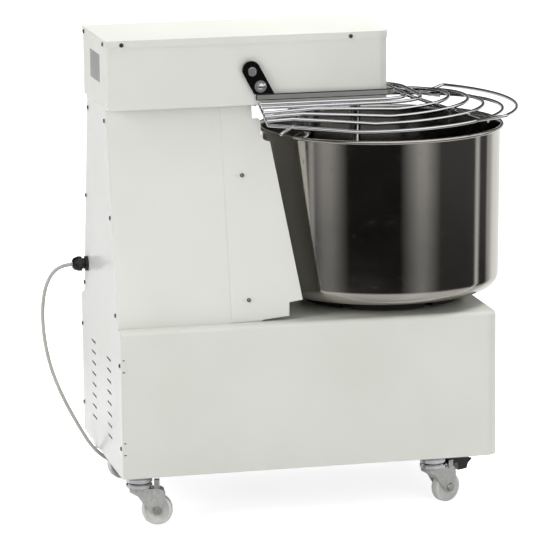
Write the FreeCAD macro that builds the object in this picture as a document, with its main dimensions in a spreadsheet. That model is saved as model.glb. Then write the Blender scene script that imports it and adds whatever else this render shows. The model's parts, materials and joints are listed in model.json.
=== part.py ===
"""Spiral dough mixer on casters.

Millimetres, +Z up, floor at z = 0. The operator stands on the -Y side, the rear cover faces +Y.
Every physical piece is one object of the document, and one STEP file in parts/.
"""
import FreeCAD, Part
import math
import os

import Sketcher

Vector = FreeCAD.Vector
DOC = FreeCAD.newDocument("spiral_mixer")
SHEET = DOC.addObject("Spreadsheet::Sheet", "Sizes")

# name, value, what it is. Setbacks are measured from the rear face towards the operator.
SIZES = [
    ("rear_face", 358.25, "Y of the rear cover's outer face"),
    ("gauge", 1.5, "sheet thickness of all casings"),
    ("base_bottom", 86.0, "lower edge of the base casing"),
    ("base_top", 334.0, "top face of the base casing"),
    ("base_width", 368.0, "width of the base casing"),
    ("base_length", 646.0, "length of the base casing"),
    ("base_corner", 23.0, "outer radius of the base's front corners"),
    ("base_bend", 8.0, "outer radius of the base's top edges"),
    ("deck", 90.0, "underside of the base frame plate"),
    ("deck_plate", 8.0, "thickness of the base frame plate"),
    ("column_foot_width", 315.0, "column width at the base"),
    ("column_head_width", 170.0, "column width under the head"),
    ("column_depth", 244.5, "setback of the column's front edge"),
    ("cover_front", 246.0, "setback of the column cover's front panel"),
    ("head_floor", 690.0, "underside of the head"),
    ("head_top", 805.0, "top of the lid"),
    ("head_width", 223.0, "width of the head casing"),
    ("head_length", 475.5, "length of the head casing"),
    ("head_corner", 18.0, "outer radius of the head's front corners"),
    ("lid_flange", 12.0, "height of the lid's turned-down edge"),
    ("bowl_setback", 490.0, "setback of the bowl's axis"),
    ("bowl_bore", 202.3, "inner radius of the bowl at the rim"),
    ("bowl_draft", 4.0, "how much smaller the bowl is at its foot"),
    ("bowl_wall", 1.5, "bowl wall"),
    ("bowl_foot", 353.0, "underside of the bowl"),
    ("bowl_rim", 634.3, "top of the bowl's rim"),
    ("bowl_bend", 25.0, "outer radius between wall and bottom"),
    ("rim_bead", 3.3, "radius of the rolled rim"),
    ("spiral_setback", 365.4, "setback of the spiral's axis"),
    ("spiral_rod", 10.0, "radius of the spiral's bar"),
    ("spiral_reach", 52.0, "radius of the spiral's centre line"),
    ("bar_setback", 445.0, "setback of the breaker bar"),
    ("bar_radius", 10.0, "radius of the breaker bar"),
    ("drive_setback", 180.0, "setback of the drive shaft"),
    ("motor_setback", 82.0, "setback of the motor's axis"),
    ("shaft_radius", 14.0, "radius of the drive, bowl and spiral shafts"),
    ("fit", 0.05, "radial play of a running fit"),
    ("bearing_outer", 31.0, "outer radius of the ball bearings"),
    ("bearing_width", 16.0, "width of the ball bearings"),
    ("low_chain", 278.0, "mid height of the bowl chain"),
    ("high_chain", 766.0, "mid height of the spiral chain"),
    ("sprocket_thick", 7.0, "thickness of the sprockets"),
    ("small_pitch", 18.4, "pitch radius, bowl pinion, 12 teeth"),
    ("large_pitch", 136.46, "pitch radius, bowl sprocket, 90 teeth"),
    ("spiral_pitch", 48.6, "pitch radius, both spiral sprockets, 24 teeth"),
    ("pivot_setback", 241.0, "setback of the guard's pivot"),
    ("pivot_height", 746.5, "height of the guard's pivot"),
    ("pivot_radius", 7.2, "radius of the guard's pivot shaft"),
    ("bracket_plane", 115.5, "inner face of the guard brackets"),
    ("bracket_thick", 4.0, "thickness of brackets and guard rail"),
    ("bracket_half", 15.3, "half the width of a bracket"),
    ("rail_low", 698.0, "lower edge of the guard rail"),
    ("rail_high", 708.5, "upper edge of the guard rail"),
    ("rail_front", 488.0, "setback of the rail's front face"),
    ("wire", 3.0, "radius of the guard's wires"),
    ("lip_radius", 318.0, "radius of the guard's front lip"),
    ("lip_centre", 399.2, "setback of the front lip's centre"),
    ("lip_level", 665.0, "height of the front lip"),
    ("caster_side", 152.0, "distance of each caster's swivel from the middle"),
    ("rear_caster", 33.0, "setback of the rear swivels"),
    ("front_caster", 538.5, "setback of the front swivels"),
    ("wheel_radius", 26.0, "radius of the caster wheels"),
    ("wheel_width", 16.0, "width of the caster wheels"),
    ("caster_trail", 29.0, "distance from swivel to axle"),
    ("fork_top", 63.0, "top of the fork's crown"),
    ("race_radius", 22.0, "radius of the swivel races"),
    ("gland_side", 112.8, "X of the cable gland"),
    ("gland_height", 395.0, "height of the cable gland"),
    ("cord_radius", 3.25, "radius of the power cord"),
    ("coil_x", 292.0, "X of the coil's axis"),
    ("coil_setback", 207.0, "setback of the coil's axis"),
    ("coil_middle", 36.0, "radius of the coil's middle"),
    ("button_radius", 11.0, "radius of the push buttons"),
    ("button_setback", 110.0, "setback of the push buttons"),
]


class Dim:
    """A number together with the sheet formula it comes from."""

    def __init__(self, text, value):
        self.text = text
        self.value = value

    def _with(self, sign, other, value):
        return Dim(f"({self.text} {sign} {dim(other).text})", value)

    def __add__(self, other):
        return self._with("+", other, self.value + dim(other).value)

    def __sub__(self, other):
        return self._with("-", other, self.value - dim(other).value)

    def __mul__(self, other):
        return self._with("*", other, self.value * dim(other).value)

    def __truediv__(self, other):
        return self._with("/", other, self.value / dim(other).value)

    def __radd__(self, other):
        return dim(other) + self

    def __rsub__(self, other):
        return dim(other) - self

    def __rmul__(self, other):
        return dim(other) * self

    def __neg__(self):
        return dim(0) - self


def dim(number):
    """Give a plain number the form of a Dim."""
    return number if isinstance(number, Dim) else Dim(str(number), float(number))


class Namespace:
    """One attribute per row of the sheet."""


S = Namespace()
for row, (alias, number, meaning) in enumerate(SIZES, start=1):
    SHEET.set(f"A{row}", alias)
    SHEET.set(f"B{row}", str(number))
    SHEET.set(f"C{row}", meaning)
    SHEET.setAlias(f"B{row}", alias)
    setattr(S, alias, Dim(f"Sizes.{alias}", number))
DOC.recompute()

NODES = {}
ALONG_X = FreeCAD.Rotation(Vector(0, 1, 0), 90)
ALONG_MINUS_X = FreeCAD.Rotation(Vector(0, 1, 0), -90)
ALONG_Y = FreeCAD.Rotation(Vector(1, 0, 0), -90)
ALONG_MINUS_Y = FreeCAD.Rotation(Vector(1, 0, 0), 90)
UPRIGHT = FreeCAD.Rotation()


def back(setback):
    """Y of a point that lies the given distance in front of the rear face."""
    return S.rear_face - setback


def node(label, obj):
    """Name a finished piece, so that it is exported."""
    obj.Label = label
    NODES[label] = obj
    return obj


def place(obj, x=0, y=0, z=0, rotation=UPRIGHT):
    """Place an object, with its position bound to the sheet."""
    spot = (dim(x), dim(y), dim(z))
    obj.Placement = FreeCAD.Placement(Vector(*(part.value for part in spot)), rotation)
    for axis, part in zip("xyz", spot):
        obj.setExpression(f"Placement.Base.{axis}", part.text)
    return obj


def bind(obj, **sizes):
    """Bind properties of an object to formulas of the sheet."""
    for name, size in sizes.items():
        setattr(obj, name, dim(size).value)
        obj.setExpression(name, dim(size).text)
    return obj


def box(name, x, y, z):
    """Box between two formulas on each axis."""
    block = DOC.addObject("Part::Box", name)
    low = [dim(pair[0]) for pair in (x, y, z)]
    high = [dim(pair[1]) for pair in (x, y, z)]
    span = [top - bottom for top, bottom in zip(high, low)]
    bind(block, Length=span[0], Width=span[1], Height=span[2])
    return place(block, *low)


def cylinder(name, radius, length, x=0, y=0, z=0, rotation=UPRIGHT):
    """Cylinder from its foot along the rotated Z axis."""
    rod = DOC.addObject("Part::Cylinder", name)
    bind(rod, Radius=radius, Height=length)
    return place(rod, x, y, z, rotation)


def fuse(name, *pieces):
    """Union of several objects as one solid."""
    union = DOC.addObject("Part::MultiFuse", name)
    union.Shapes = list(pieces)
    return union


def cut(name, base, *tools):
    """Base with every tool taken away."""
    for count, tool in enumerate(tools):
        result = DOC.addObject("Part::Cut", f"{name}_{count}")
        result.Base = base
        result.Tool = tool
        base = result
    return base


def common(name, one, other):
    """Space that both objects share."""
    result = DOC.addObject("Part::Common", name)
    result.Base = one
    result.Tool = other
    return result


def shaped(name, shape):
    """Object with a shape that the script works out from the sheet."""
    feature = DOC.addObject("Part::Feature", name)
    feature.Shape = shape
    return feature


def outline(body, role, corners, name="outline"):
    """Closed sketch on an origin plane, each corner held by two formulas."""
    sketch = body.newObject("Sketcher::SketchObject", name)
    plane = next(item for item in body.Origin.OriginFeatures if item.Role == role)
    sketch.AttachmentSupport = [(plane, "")]
    sketch.MapMode = "FlatFace"
    points = [(dim(u), dim(v)) for u, v in corners]
    count = len(points)
    for index, (u, v) in enumerate(points):
        after = points[(index + 1) % count]
        line = Part.LineSegment(Vector(u.value, v.value, 0), Vector(after[0].value, after[1].value, 0))
        sketch.addGeometry(line, False)
    for index in range(count):
        sketch.addConstraint(Sketcher.Constraint("Coincident", index, 2, (index + 1) % count, 1))
    for index, (u, v) in enumerate(points):
        for kind, size, axis in (("DistanceX", u, -2), ("DistanceY", v, -1)):
            if abs(size.value) < 1e-9:
                sketch.addConstraint(Sketcher.Constraint("PointOnObject", index, 1, axis))
                continue
            held = sketch.addConstraint(Sketcher.Constraint(kind, -1, 1, index, 1, size.value))
            sketch.setExpression(f"Constraints[{held}]", size.text)
    return sketch


def new_body(name):
    """Empty body."""
    return DOC.addObject("PartDesign::Body", name)


def pad(body, sketch, length, reverse=False, both_ways=False):
    """Pad a sketch of the body."""
    feature = body.newObject("PartDesign::Pad", "pad")
    feature.Profile = sketch
    bind(feature, Length=length)
    feature.Reversed = reverse
    feature.Midplane = both_ways
    return feature


def round_edges(body, radius, wanted):
    """Fillet the edges of the body's tip that the test picks."""
    DOC.recompute()
    tip = body.Tip
    names = [f"Edge{place_}" for place_, edge in enumerate(tip.Shape.Edges, start=1) if wanted(edge)]
    fillet = body.newObject("PartDesign::Fillet", "round")
    fillet.Base = (tip, names)
    bind(fillet, Radius=radius)
    return fillet


def turned(name, profile, x=0, y=0, z=0, rotation=UPRIGHT):
    """Body turned about its own Z axis from a profile of (radius, height) corners."""
    body = new_body(name)
    sketch = outline(body, "XZ_Plane", profile)
    revolution = body.newObject("PartDesign::Revolution", "turn")
    revolution.Profile = sketch
    revolution.ReferenceAxis = (sketch, ["V_Axis"])
    revolution.Angle = 360
    place(body, x, y, z, rotation)
    return body


def ring_profile(inner, outer, low, high):
    """Corners of a plain ring's section."""
    return [(inner, low), (outer, low), (outer, high), (inner, high)]


def is_upright(edge):
    """True for a straight edge along Z."""
    run = edge.Vertexes[-1].Point - edge.Vertexes[0].Point
    return len(edge.Vertexes) == 2 and abs(run.z) > 1 and math.hypot(run.x, run.y) < 1e-6


def rounded_block(name, half_width, rear, front, low, high, corner, bend=None):
    """Box whose two front uprights are rounded, and its top edges too if a bend is given."""
    body = new_body(name)
    corners = [(-half_width, rear), (half_width, rear), (half_width, front), (-half_width, front)]
    pad(body, outline(body, "XY_Plane", corners), high - low)
    front_y = dim(front).value
    round_edges(body, corner, lambda e: is_upright(e) and abs(e.Vertexes[0].Point.y - front_y) < 0.01)
    if bend is not None:
        top = (high - low).value
        rear_y = dim(rear).value

        def on_top(edge):
            points = [vertex.Point for vertex in edge.Vertexes]
            if any(abs(point.z - top) > 0.01 for point in points):
                return False
            return not all(abs(point.y - rear_y) < 0.01 for point in points)

        round_edges(body, bend, on_top)
    return place(body, 0, 0, low)


def drilled(places, radius, reach):
    """Holes for screws: cylinders along each screw's axis, from outside to inside."""
    holes = []
    for spot, outward in places:
        start = spot + outward * 2
        holes.append(Part.makeCylinder(radius, reach, start, outward * -1))
    return shaped("holes", Part.makeCompound(holes))


# ---------------------------------------------------------------- casings

CASING_HALF = S.base_width / 2
HEAD_HALF = S.head_width / 2
LID_HALF = HEAD_HALF + S.gauge
LID_BOTTOM = S.head_top - S.lid_flange
SLOPE = (S.column_foot_width - S.column_head_width) / 2 / (S.head_floor - S.base_top)
LEAN = math.atan(SLOPE.value)


def column_half(level):
    """Half the width of the column's side panels at a height."""
    return S.column_head_width / 2 + SLOPE * (S.head_floor - level)


# a point on the outer skin, and the direction that points out of it
def rear_spot(x, z, proud=0.0):
    return Vector(x, S.rear_face.value + proud, z), Vector(0, 1, 0)


def cover_spot(side, setback, z):
    outward = Vector(side * math.cos(LEAN), 0, math.sin(LEAN))
    skin = column_half(dim(z)).value + S.gauge.value / math.cos(LEAN)
    return Vector(side * skin, back(setback).value, z), outward


def lid_side_spot(side, setback):
    z = LID_BOTTOM.value + 5
    return Vector(side * LID_HALF.value, back(setback).value, z), Vector(side, 0, 0)


COLUMN_SCREWS = [(77.5, 669.5), (114, 513), (146, 355.5)]
BASE_SCREWS = [(176, 277), (176, 137)]
REAR_SCREWS = [rear_spot(side * x, z) for side in (-1, 1) for x, z in COLUMN_SCREWS + BASE_SCREWS]
LID_SIDE_SCREWS = [lid_side_spot(side, setback) for side in (-1, 1) for setback in (24, 410)]
LID_REAR_SCREWS = [rear_spot(x, 797, S.gauge.value) for x in (-84, 92)]
COVER_SCREWS = [cover_spot(side, 223.5, z) for side in (-1, 1) for z in (573, 370)]
SCREW_HOLE = 2.15


def base_shell():
    skin = rounded_block("base_skin", CASING_HALF, S.rear_face - S.gauge, back(S.base_length),
                         S.base_bottom, S.base_top, S.base_corner, S.base_bend)
    hollow = rounded_block("base_hollow", CASING_HALF - S.gauge, S.rear_face + 5,
                           back(S.base_length) + S.gauge, S.base_bottom - 5, S.base_top - S.gauge,
                           S.base_corner - S.gauge, S.base_bend - S.gauge)
    mouth = cylinder("hub_mouth", 42, 20, 0, back(S.bowl_setback), S.base_top - 10)
    throat = box("base_throat", (-81.5, 81.5), (back(242), back(18)), (S.base_top - 10, S.base_top + 5))
    # relief slits beside the rear cover's screws
    slits = [box("slit", (-CASING_HALF - 1, -CASING_HALF + 3), (back(7), back(3)), (z, z + 2))
             for z in (266, 286, 126, 146)]
    slits += [box("slit", (CASING_HALF - 3, CASING_HALF + 1), (back(7), back(3)), (z, z + 2))
              for z in (266, 286, 126, 146)]
    node("base_shell", cut("base_shell", skin, hollow, mouth, throat, fuse("base_slits", *slits)))


def rear_cover():
    body = new_body("rear_cover_blank")
    foot = column_half(S.base_top + 2)
    head = S.column_head_width / 2
    wide = CASING_HALF - 0.5
    corners = [(-wide, S.base_bottom), (wide, S.base_bottom), (wide, S.base_top - 7), (wide - 7, S.base_top),
               (foot, S.base_top), (head, S.head_floor), (-head, S.head_floor), (-foot, S.base_top),
               (-wide + 7, S.base_top), (-wide, S.base_top - 7)]
    sheet = outline(body, "XZ_Plane", corners)
    pad(body, sheet, S.gauge)
    DOC.recompute()
    solid_volume = body.Shape.Volume
    for low_x, high_x in ((53, 91), (-91, -53)):
        corners = [(low_x, 132), (high_x, 132), (high_x, 135.5), (low_x, 135.5)]
        row = outline(body, "XZ_Plane", corners, "vent")
        slot = body.newObject("PartDesign::Pocket", "vent_slot")
        slot.Profile = row
        slot.Type = 1
        slot.Midplane = True
        climb = body.newObject("PartDesign::LinearPattern", "vent_column")
        climb.Originals = [slot]
        climb.Direction = (row, ["V_Axis"])
        climb.Length = 7 * 19.0
        climb.Occurrences = 8
        body.Tip = climb
    DOC.recompute()
    if body.Shape.Volume > solid_volume - 16 * 38 * 3.5 * S.gauge.value + 1:
        raise RuntimeError("not every vent cuts the rear cover")
    place(body, 0, S.rear_face, 0)
    gland_hole = cylinder("gland_hole", 8.2, 10, S.gland_side, S.rear_face + 4, S.gland_height,
                          ALONG_MINUS_Y)
    node("rear_cover", cut("rear_cover", body, drilled(REAR_SCREWS, SCREW_HOLE, 6), gland_hole))


def column_side(name, side):
    body = new_body(name)
    low = S.base_top
    high = S.head_floor
    outer_high, outer_low = column_half(high) * side, column_half(low) * side
    corners = [(outer_high, high), (outer_low, low), (outer_low - S.gauge * side, low),
               (outer_high - S.gauge * side, high)]
    pad(body, outline(body, "XZ_Plane", corners), S.column_depth - S.gauge)
    place(body, 0, S.rear_face - S.gauge, 0)
    node(name, body)


def column_front_cover():
    low = S.base_top + 1
    high = S.head_floor
    strips = []
    for side in (-1, 1):
        strip = new_body("wing_strip")
        corners = [(column_half(high) * side, high), (column_half(low) * side, low),
                   ((column_half(low) + S.gauge) * side, low), ((column_half(high) + S.gauge) * side, high)]
        pad(strip, outline(strip, "XZ_Plane", corners), 200)
        strips.append(place(strip, 0, back(150), 0))
    # side view of a wing: rear edge, toe, slanted front edge, step that clears the bowl's rim, open corner
    # under the head
    side_view = new_body("wing_view")
    corners = [(192.7, 690), (192.7, 335), (246, 337), (290.5, 341), (292, 363), (315, 366),
               (274, 626), (266, 628), (261, 632), (259.5, 638), (259.5, 661.5), (256.5, 664.5), (246, 664.5),
               (246, 690)]
    view = outline(side_view, "YZ_Plane", [(S.rear_face - u, v) for u, v in corners])
    pad(side_view, view, 400, False, True)
    wings = common("wings", fuse("wing_strips", *strips), side_view)
    panel = new_body("front_panel")
    foot = column_half(low)
    neck = column_half(high)
    pad(panel, outline(panel, "XZ_Plane", [(-foot, low), (foot, low), (neck, high), (-neck, high)]), S.gauge)
    place(panel, 0, back(S.cover_front - S.gauge), 0)
    keyholes = []
    for side in (-1, 1):
        for z in (573, 370):
            spot, outward = cover_spot(side, 213.5, z)
            keyholes.append((spot, outward))
    node("column_front_cover", cut("column_front_cover", fuse("cover_blank", wings, panel),
                                   drilled(COVER_SCREWS, SCREW_HOLE, 5), drilled(keyholes, 1.6, 5)))


def head_shell():
    skin = rounded_block("head_skin", HEAD_HALF, S.rear_face, back(S.head_length),
                         S.head_floor, S.head_top - S.gauge, S.head_corner)
    hollow = rounded_block("head_hollow", HEAD_HALF - S.gauge, S.rear_face - S.gauge,
                           back(S.head_length) + S.gauge, S.head_floor + S.gauge, S.head_top + 5,
                           S.head_corner - S.gauge)
    throat = box("throat", (-81.5, 81.5), (back(242), back(18)), (S.head_floor - 1, S.head_floor + 5))
    openings = [
        cylinder("boss_hole", 39, 10, 0, back(S.spiral_setback), S.head_floor - 2),
        cylinder("bar_hole", 11, 10, 0, back(S.bar_setback), S.head_floor - 2),
        cylinder("pivot_holes", 9.0, 240, -120, back(S.pivot_setback), S.pivot_height, ALONG_X),
    ]
    openings += [cylinder("button_hole", 9, 10, HEAD_HALF - 5, back(S.button_setback), z, ALONG_X)
                 for z in BUTTON_LEVELS]
    node("head_shell", cut("head_shell", skin, hollow, throat, fuse("head_openings", *openings)))


def head_lid():
    skin = rounded_block("lid_skin", LID_HALF, S.rear_face + S.gauge, back(S.head_length) - S.gauge,
                         LID_BOTTOM, S.head_top, S.head_corner + S.gauge)
    hollow = rounded_block("lid_hollow", HEAD_HALF, S.rear_face, back(S.head_length),
                           LID_BOTTOM - 5, S.head_top - S.gauge, S.head_corner)
    holes = drilled(LID_SIDE_SCREWS + LID_REAR_SCREWS, SCREW_HOLE, 5)
    node("head_lid", cut("head_lid", skin, hollow, holes))


def pan_screw(spot, outward, head=3.6, rise=2.2, shank=2.0, grip=1.4):
    """Pan-head screw with a cross recess, its head resting on the skin."""
    dome = Part.makeCylinder(head, rise, Vector(), Vector(0, 0, 1))
    rim = [edge for edge in dome.Edges if abs(edge.CenterOfMass.z - rise) < 0.01]
    dome = dome.makeFillet(rise * 0.6, [edge for edge in rim if edge.Closed and len(edge.Vertexes) == 1])
    recess = Part.makeBox(head * 1.1, 0.9, rise, Vector(-head * 0.55, -0.45, rise * 0.5))
    crossed = recess.fuse(recess.rotated(Vector(), Vector(0, 0, 1), 90))
    screw = dome.cut(crossed).fuse(Part.makeCylinder(shank, grip, Vector(0, 0, -grip)))
    screw.Placement = FreeCAD.Placement(spot, FreeCAD.Rotation(Vector(0, 0, 1), outward))
    return screw


def panel_screws():
    places = REAR_SCREWS + LID_REAR_SCREWS + COVER_SCREWS
    screws = [pan_screw(spot, outward) for spot, outward in places]
    # flatter heads beside the guard, which swings past them
    screws += [pan_screw(spot, outward, rise=1.2) for spot, outward in LID_SIDE_SCREWS]
    group = Part.makeCompound(screws)
    node("panel_screws", shaped("panel_screws", group))


def rating_plate():
    node("rating_plate", box("rating_plate", (-40, 44), (S.rear_face, S.rear_face + 0.6), (728, 774)))


# ---------------------------------------------------------------- frame, motor and drive

FRAME_IN = 74
FRAME_OUT = 80
SHELF = 309
HEAD_PLATE = S.head_floor + S.gauge


def base_frame():
    plate = box("deck_plate", (-CASING_HALF + S.gauge + 1, CASING_HALF - S.gauge - 1),
                (back(S.base_length) + 26, back(8)), (S.deck, S.deck + S.deck_plate))
    tower = cylinder("bearing_tower", 42, 168, 0, back(S.bowl_setback), S.deck)
    beams = [box("beam", (side * 110 - 2.5, side * 110 + 2.5), (back(S.base_length) + 40, back(20)),
                 (S.deck + S.deck_plate, S.deck + 60)) for side in (-1, 1)]
    bore = cylinder("tower_bore", S.bearing_outer + S.fit, 200, 0, back(S.bowl_setback),
                    S.deck + S.deck_plate)
    node("base_frame", cut("base_frame", fuse("base_weld", plate, tower, *beams), bore))


def column_frame():
    foot = S.deck + S.deck_plate
    depth = (back(240), back(20))
    cheeks = [box("cheek", (min(side * FRAME_IN, side * FRAME_OUT), max(side * FRAME_IN, side * FRAME_OUT)),
                  depth, (foot, HEAD_PLATE)) for side in (-1, 1)]
    shelf = box("motor_shelf", (-FRAME_IN, FRAME_IN), depth, (SHELF, SHELF + 6))
    crown = box("crown", (-FRAME_IN, FRAME_IN), depth, (HEAD_PLATE - 6, HEAD_PLATE))
    shaft_hole = cylinder("shaft_hole", 22, 500, 0, back(S.drive_setback), SHELF - 20)
    motor_hole = cylinder("motor_hole", 25, 20, 0, back(S.motor_setback), SHELF - 5)
    weld = fuse("column_weld", *cheeks, shelf, crown)
    node("column_frame", cut("column_frame", weld, shaft_hole, motor_hole))


def head_frame():
    plate = box("arm_plate", (-FRAME_OUT, FRAME_OUT), (back(462), back(20)), (HEAD_PLATE, HEAD_PLATE + 8))
    housing = cylinder("spiral_housing", 38, 64, 0, back(S.spiral_setback), HEAD_PLATE - 27.5)
    bore = cylinder("housing_bore", S.bearing_outer + S.fit, 100, 0, back(S.spiral_setback), HEAD_PLATE - 40)
    shaft_hole = cylinder("arm_shaft_hole", 22, 20, 0, back(S.drive_setback), HEAD_PLATE - 5)
    bar_hole = cylinder("arm_bar_hole", 8.05, 20, 0, back(S.bar_setback), HEAD_PLATE - 5)
    node("head_frame", cut("head_frame", fuse("arm_weld", plate, housing), bore, shaft_hole, bar_hole))


def motor():
    can = turned("motor_can", [(0, 106), (50, 106), (64, 116), (64, 132), (70, 132), (70, 142), (62, 142),
                               (62, 290), (70, 290), (70, SHELF), (0, SHELF)], 0, back(S.motor_setback), 0)
    fins = []
    for index in range(24):
        fin = Part.makeBox(9, 2, 146, Vector(61, -1, 143))
        fins.append(fin.rotated(Vector(), Vector(0, 0, 1), index * 15))
    ribs = shaped("motor_fins", Part.makeCompound(fins))
    place(ribs, 0, back(S.motor_setback), 0)
    node("motor", fuse("motor", can, ribs))


def gear_reducer():
    low = SHELF + 6
    case = rounded_block("reducer_case", dim(66), back(24), back(228), dim(low), dim(low + 76), dim(14),
                         dim(6))
    boss = cylinder("reducer_boss", 30, 10, 0, back(S.drive_setback), low + 76)
    bore = cylinder("reducer_bore", 18, 120, 0, back(S.drive_setback), low - 10)
    node("gear_reducer", cut("gear_reducer", fuse("reducer_blank", case, boss), bore))


def bearing(name, *places):
    """Node of plain ball bearing rings, each at (setback, foot)."""
    rings = [turned("ring", ring_profile(S.shaft_radius + S.fit, S.bearing_outer, 0, S.bearing_width),
                    0, back(setback), foot) for setback, foot in places]
    group = DOC.addObject("Part::Compound", name)
    group.Links = rings
    node(name, group)


def sprocket_shape(pitch_radius, teeth, bore, hub_low, hub_high, level):
    """Sprocket with pointed teeth on a hub, axis at the origin."""
    tip = pitch_radius + 2.2
    root = pitch_radius - 2.6
    corners = []
    for tooth in range(teeth):
        for share, radius in ((0.0, root), (0.30, root), (0.46, tip), (0.54, tip), (0.70, root)):
            angle = 2 * math.pi * (tooth + share) / teeth
            corners.append(Vector(radius * math.cos(angle), radius * math.sin(angle), 0))
    face = Part.Face(Part.makePolygon(corners + corners[:1]))
    thick = S.sprocket_thick.value
    disc = face.extrude(Vector(0, 0, thick))
    disc.translate(Vector(0, 0, level - thick / 2))
    hub = Part.makeCylinder(bore + 8, hub_high - hub_low, Vector(0, 0, hub_low))
    hole = Part.makeCylinder(bore, hub_high - hub_low + 60, Vector(0, 0, hub_low - 30))
    return disc.fuse(hub).cut(hole)


def sprocket(name, pitch, teeth, setback, level, hub_low, hub_high):
    bore = (S.shaft_radius + 0.02).value
    shape = sprocket_shape(pitch.value, teeth, bore, hub_low, hub_high, level.value)
    node(name, place(shaped(name, shape), 0, back(setback), 0))


def chain(name, small, large, rear_setback, front_setback, level):
    """Endless band around two sprockets, clear of their teeth."""
    gap = (front_setback - rear_setback).value
    swing = math.asin((large.value - small.value) / gap)

    def loop(offset):
        one = small.value + offset
        two = large.value + offset
        up = Vector(math.cos(swing), math.sin(swing), 0)
        down = Vector(-math.cos(swing), math.sin(swing), 0)
        far = Vector(0, -gap, 0)
        edges = [Part.Arc(up * one, Vector(0, one, 0), down * one).toShape(),
                 Part.makeLine(down * one, far + down * two),
                 Part.Arc(far + down * two, far - Vector(0, two, 0), far + up * two).toShape(),
                 Part.makeLine(far + up * two, up * one)]
        return Part.Face(Part.Wire(edges))

    band = loop(6.5).cut(loop(2.6)).extrude(Vector(0, 0, 6))
    node(name, place(shaped(name, band), 0, back(rear_setback), level - 3))


def drive():
    axle = S.shaft_radius
    node("drive_shaft", turned("drive_shaft", [(0, 262), (axle, 262), (axle, 784), (0, 784)],
                               0, back(S.drive_setback)))
    bearing("drive_bearings", (S.drive_setback, SHELF + 93), (S.drive_setback, HEAD_PLATE + 8.5))
    sprocket("bowl_pinion", S.small_pitch, 12, S.drive_setback, S.low_chain, 281.5, 294)
    sprocket("spiral_pinion", S.spiral_pitch, 24, S.drive_setback, S.high_chain, 758, 778)
    chain("bowl_chain", S.small_pitch, S.large_pitch, S.drive_setback, S.bowl_setback, S.low_chain)
    chain("spiral_chain", S.spiral_pitch, S.spiral_pitch, S.drive_setback, S.spiral_setback, S.high_chain)


# ---------------------------------------------------------------- bowl and tools

def bowl():
    outer = S.bowl_bore + S.bowl_wall
    foot = outer - S.bowl_draft
    height = S.bowl_rim - S.bowl_foot - S.rim_bead
    body = turned("bowl", [(0, 0), (foot, 0), (outer, height), (outer - S.bowl_wall, height),
                           (foot - S.bowl_wall, S.bowl_wall), (0, S.bowl_wall)],
                  0, back(S.bowl_setback), S.bowl_foot)

    def bottom_rim(edge_radius, level):
        return lambda e: e.Closed and abs(e.CenterOfMass.z - level) < 0.3 and abs(
            e.Length / (2 * math.pi) - edge_radius) < 0.5

    round_edges(body, S.bowl_bend, bottom_rim(foot.value, S.bowl_foot.value * 0))
    round_edges(body, S.bowl_bend - S.bowl_wall, bottom_rim((foot - S.bowl_wall).value, S.bowl_wall.value))
    # rolled rim
    bead = body.newObject("Sketcher::SketchObject", "bead")
    plane = next(item for item in body.Origin.OriginFeatures if item.Role == "XZ_Plane")
    bead.AttachmentSupport = [(plane, "")]
    bead.MapMode = "FlatFace"
    middle = outer + S.rim_bead - 0.8
    circle = Part.Circle(Vector(middle.value, height.value, 0), Vector(0, 0, 1), S.rim_bead.value)
    bead.addGeometry(circle, False)
    for kind, size in (("DistanceX", middle), ("DistanceY", height)):
        held = bead.addConstraint(Sketcher.Constraint(kind, -1, 1, 0, 3, size.value))
        bead.setExpression(f"Constraints[{held}]", size.text)
    held = bead.addConstraint(Sketcher.Constraint("Radius", 0, S.rim_bead.value))
    bead.setExpression(f"Constraints[{held}]", S.rim_bead.text)
    roll = body.newObject("PartDesign::Revolution", "roll")
    roll.Profile = bead
    roll.ReferenceAxis = (bead, ["V_Axis"])
    roll.Angle = 360
    node("bowl", body)


def bowl_drive():
    axle = S.shaft_radius
    top = S.bowl_foot
    node("bowl_shaft", turned("bowl_shaft", [(0, 120), (axle, 120), (axle, top - 20), (0, top - 20)],
                              0, back(S.bowl_setback)))
    plate = turned("turntable_plate", [(0, top - 15), (40, top - 15), (40, top - 12), (128, top - 12),
                                       (128, top - 16), (140, top - 16), (140, top), (0, top)],
                   0, back(S.bowl_setback))
    hub = turned("turntable_hub", ring_profile(axle + 0.02, 30, 292, top - 12), 0, back(S.bowl_setback))
    notches = []
    for index in range(6):
        notch = Part.makeBox(14, 16, 12, Vector(130, -8, top.value - 20))
        notches.append(notch.rotated(Vector(), Vector(0, 0, 1), 20 + index * 60))
    gaps = place(shaped("notches", Part.makeCompound(notches)), 0, back(S.bowl_setback), 0)
    shaft_room = cylinder("shaft_room", axle + 0.02, 60, 0, back(S.bowl_setback), top - 79.98)
    node("bowl_turntable", cut("bowl_turntable", fuse("turntable_blank", plate, hub), gaps, shaft_room))
    bearing("bowl_bearings", (S.bowl_setback, 140), (S.bowl_setback, 240))
    sprocket("bowl_sprocket", S.large_pitch, 90, S.bowl_setback, S.low_chain, 268, 291)


def rod_path(points, radii):
    """Straight runs joined by tangent arcs, as one wire."""
    edges = []
    start = points[0]
    for before, corner, after, radius in zip(points, points[1:], points[2:], radii):
        come = (corner - before).normalize()
        leave = (after - corner).normalize()
        half = come.getAngle(leave) / 2
        reach = radius * math.tan(half)
        enter = corner - come * reach
        exit_ = corner + leave * reach
        inward = (leave - come).normalize()
        crown = corner + inward * (radius / math.cos(half) - radius)
        edges.append(Part.makeLine(start, enter))
        edges.append(Part.Arc(enter, crown, exit_).toShape())
        start = exit_
    edges.append(Part.makeLine(start, points[-1]))
    return Part.Wire(edges)


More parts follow.
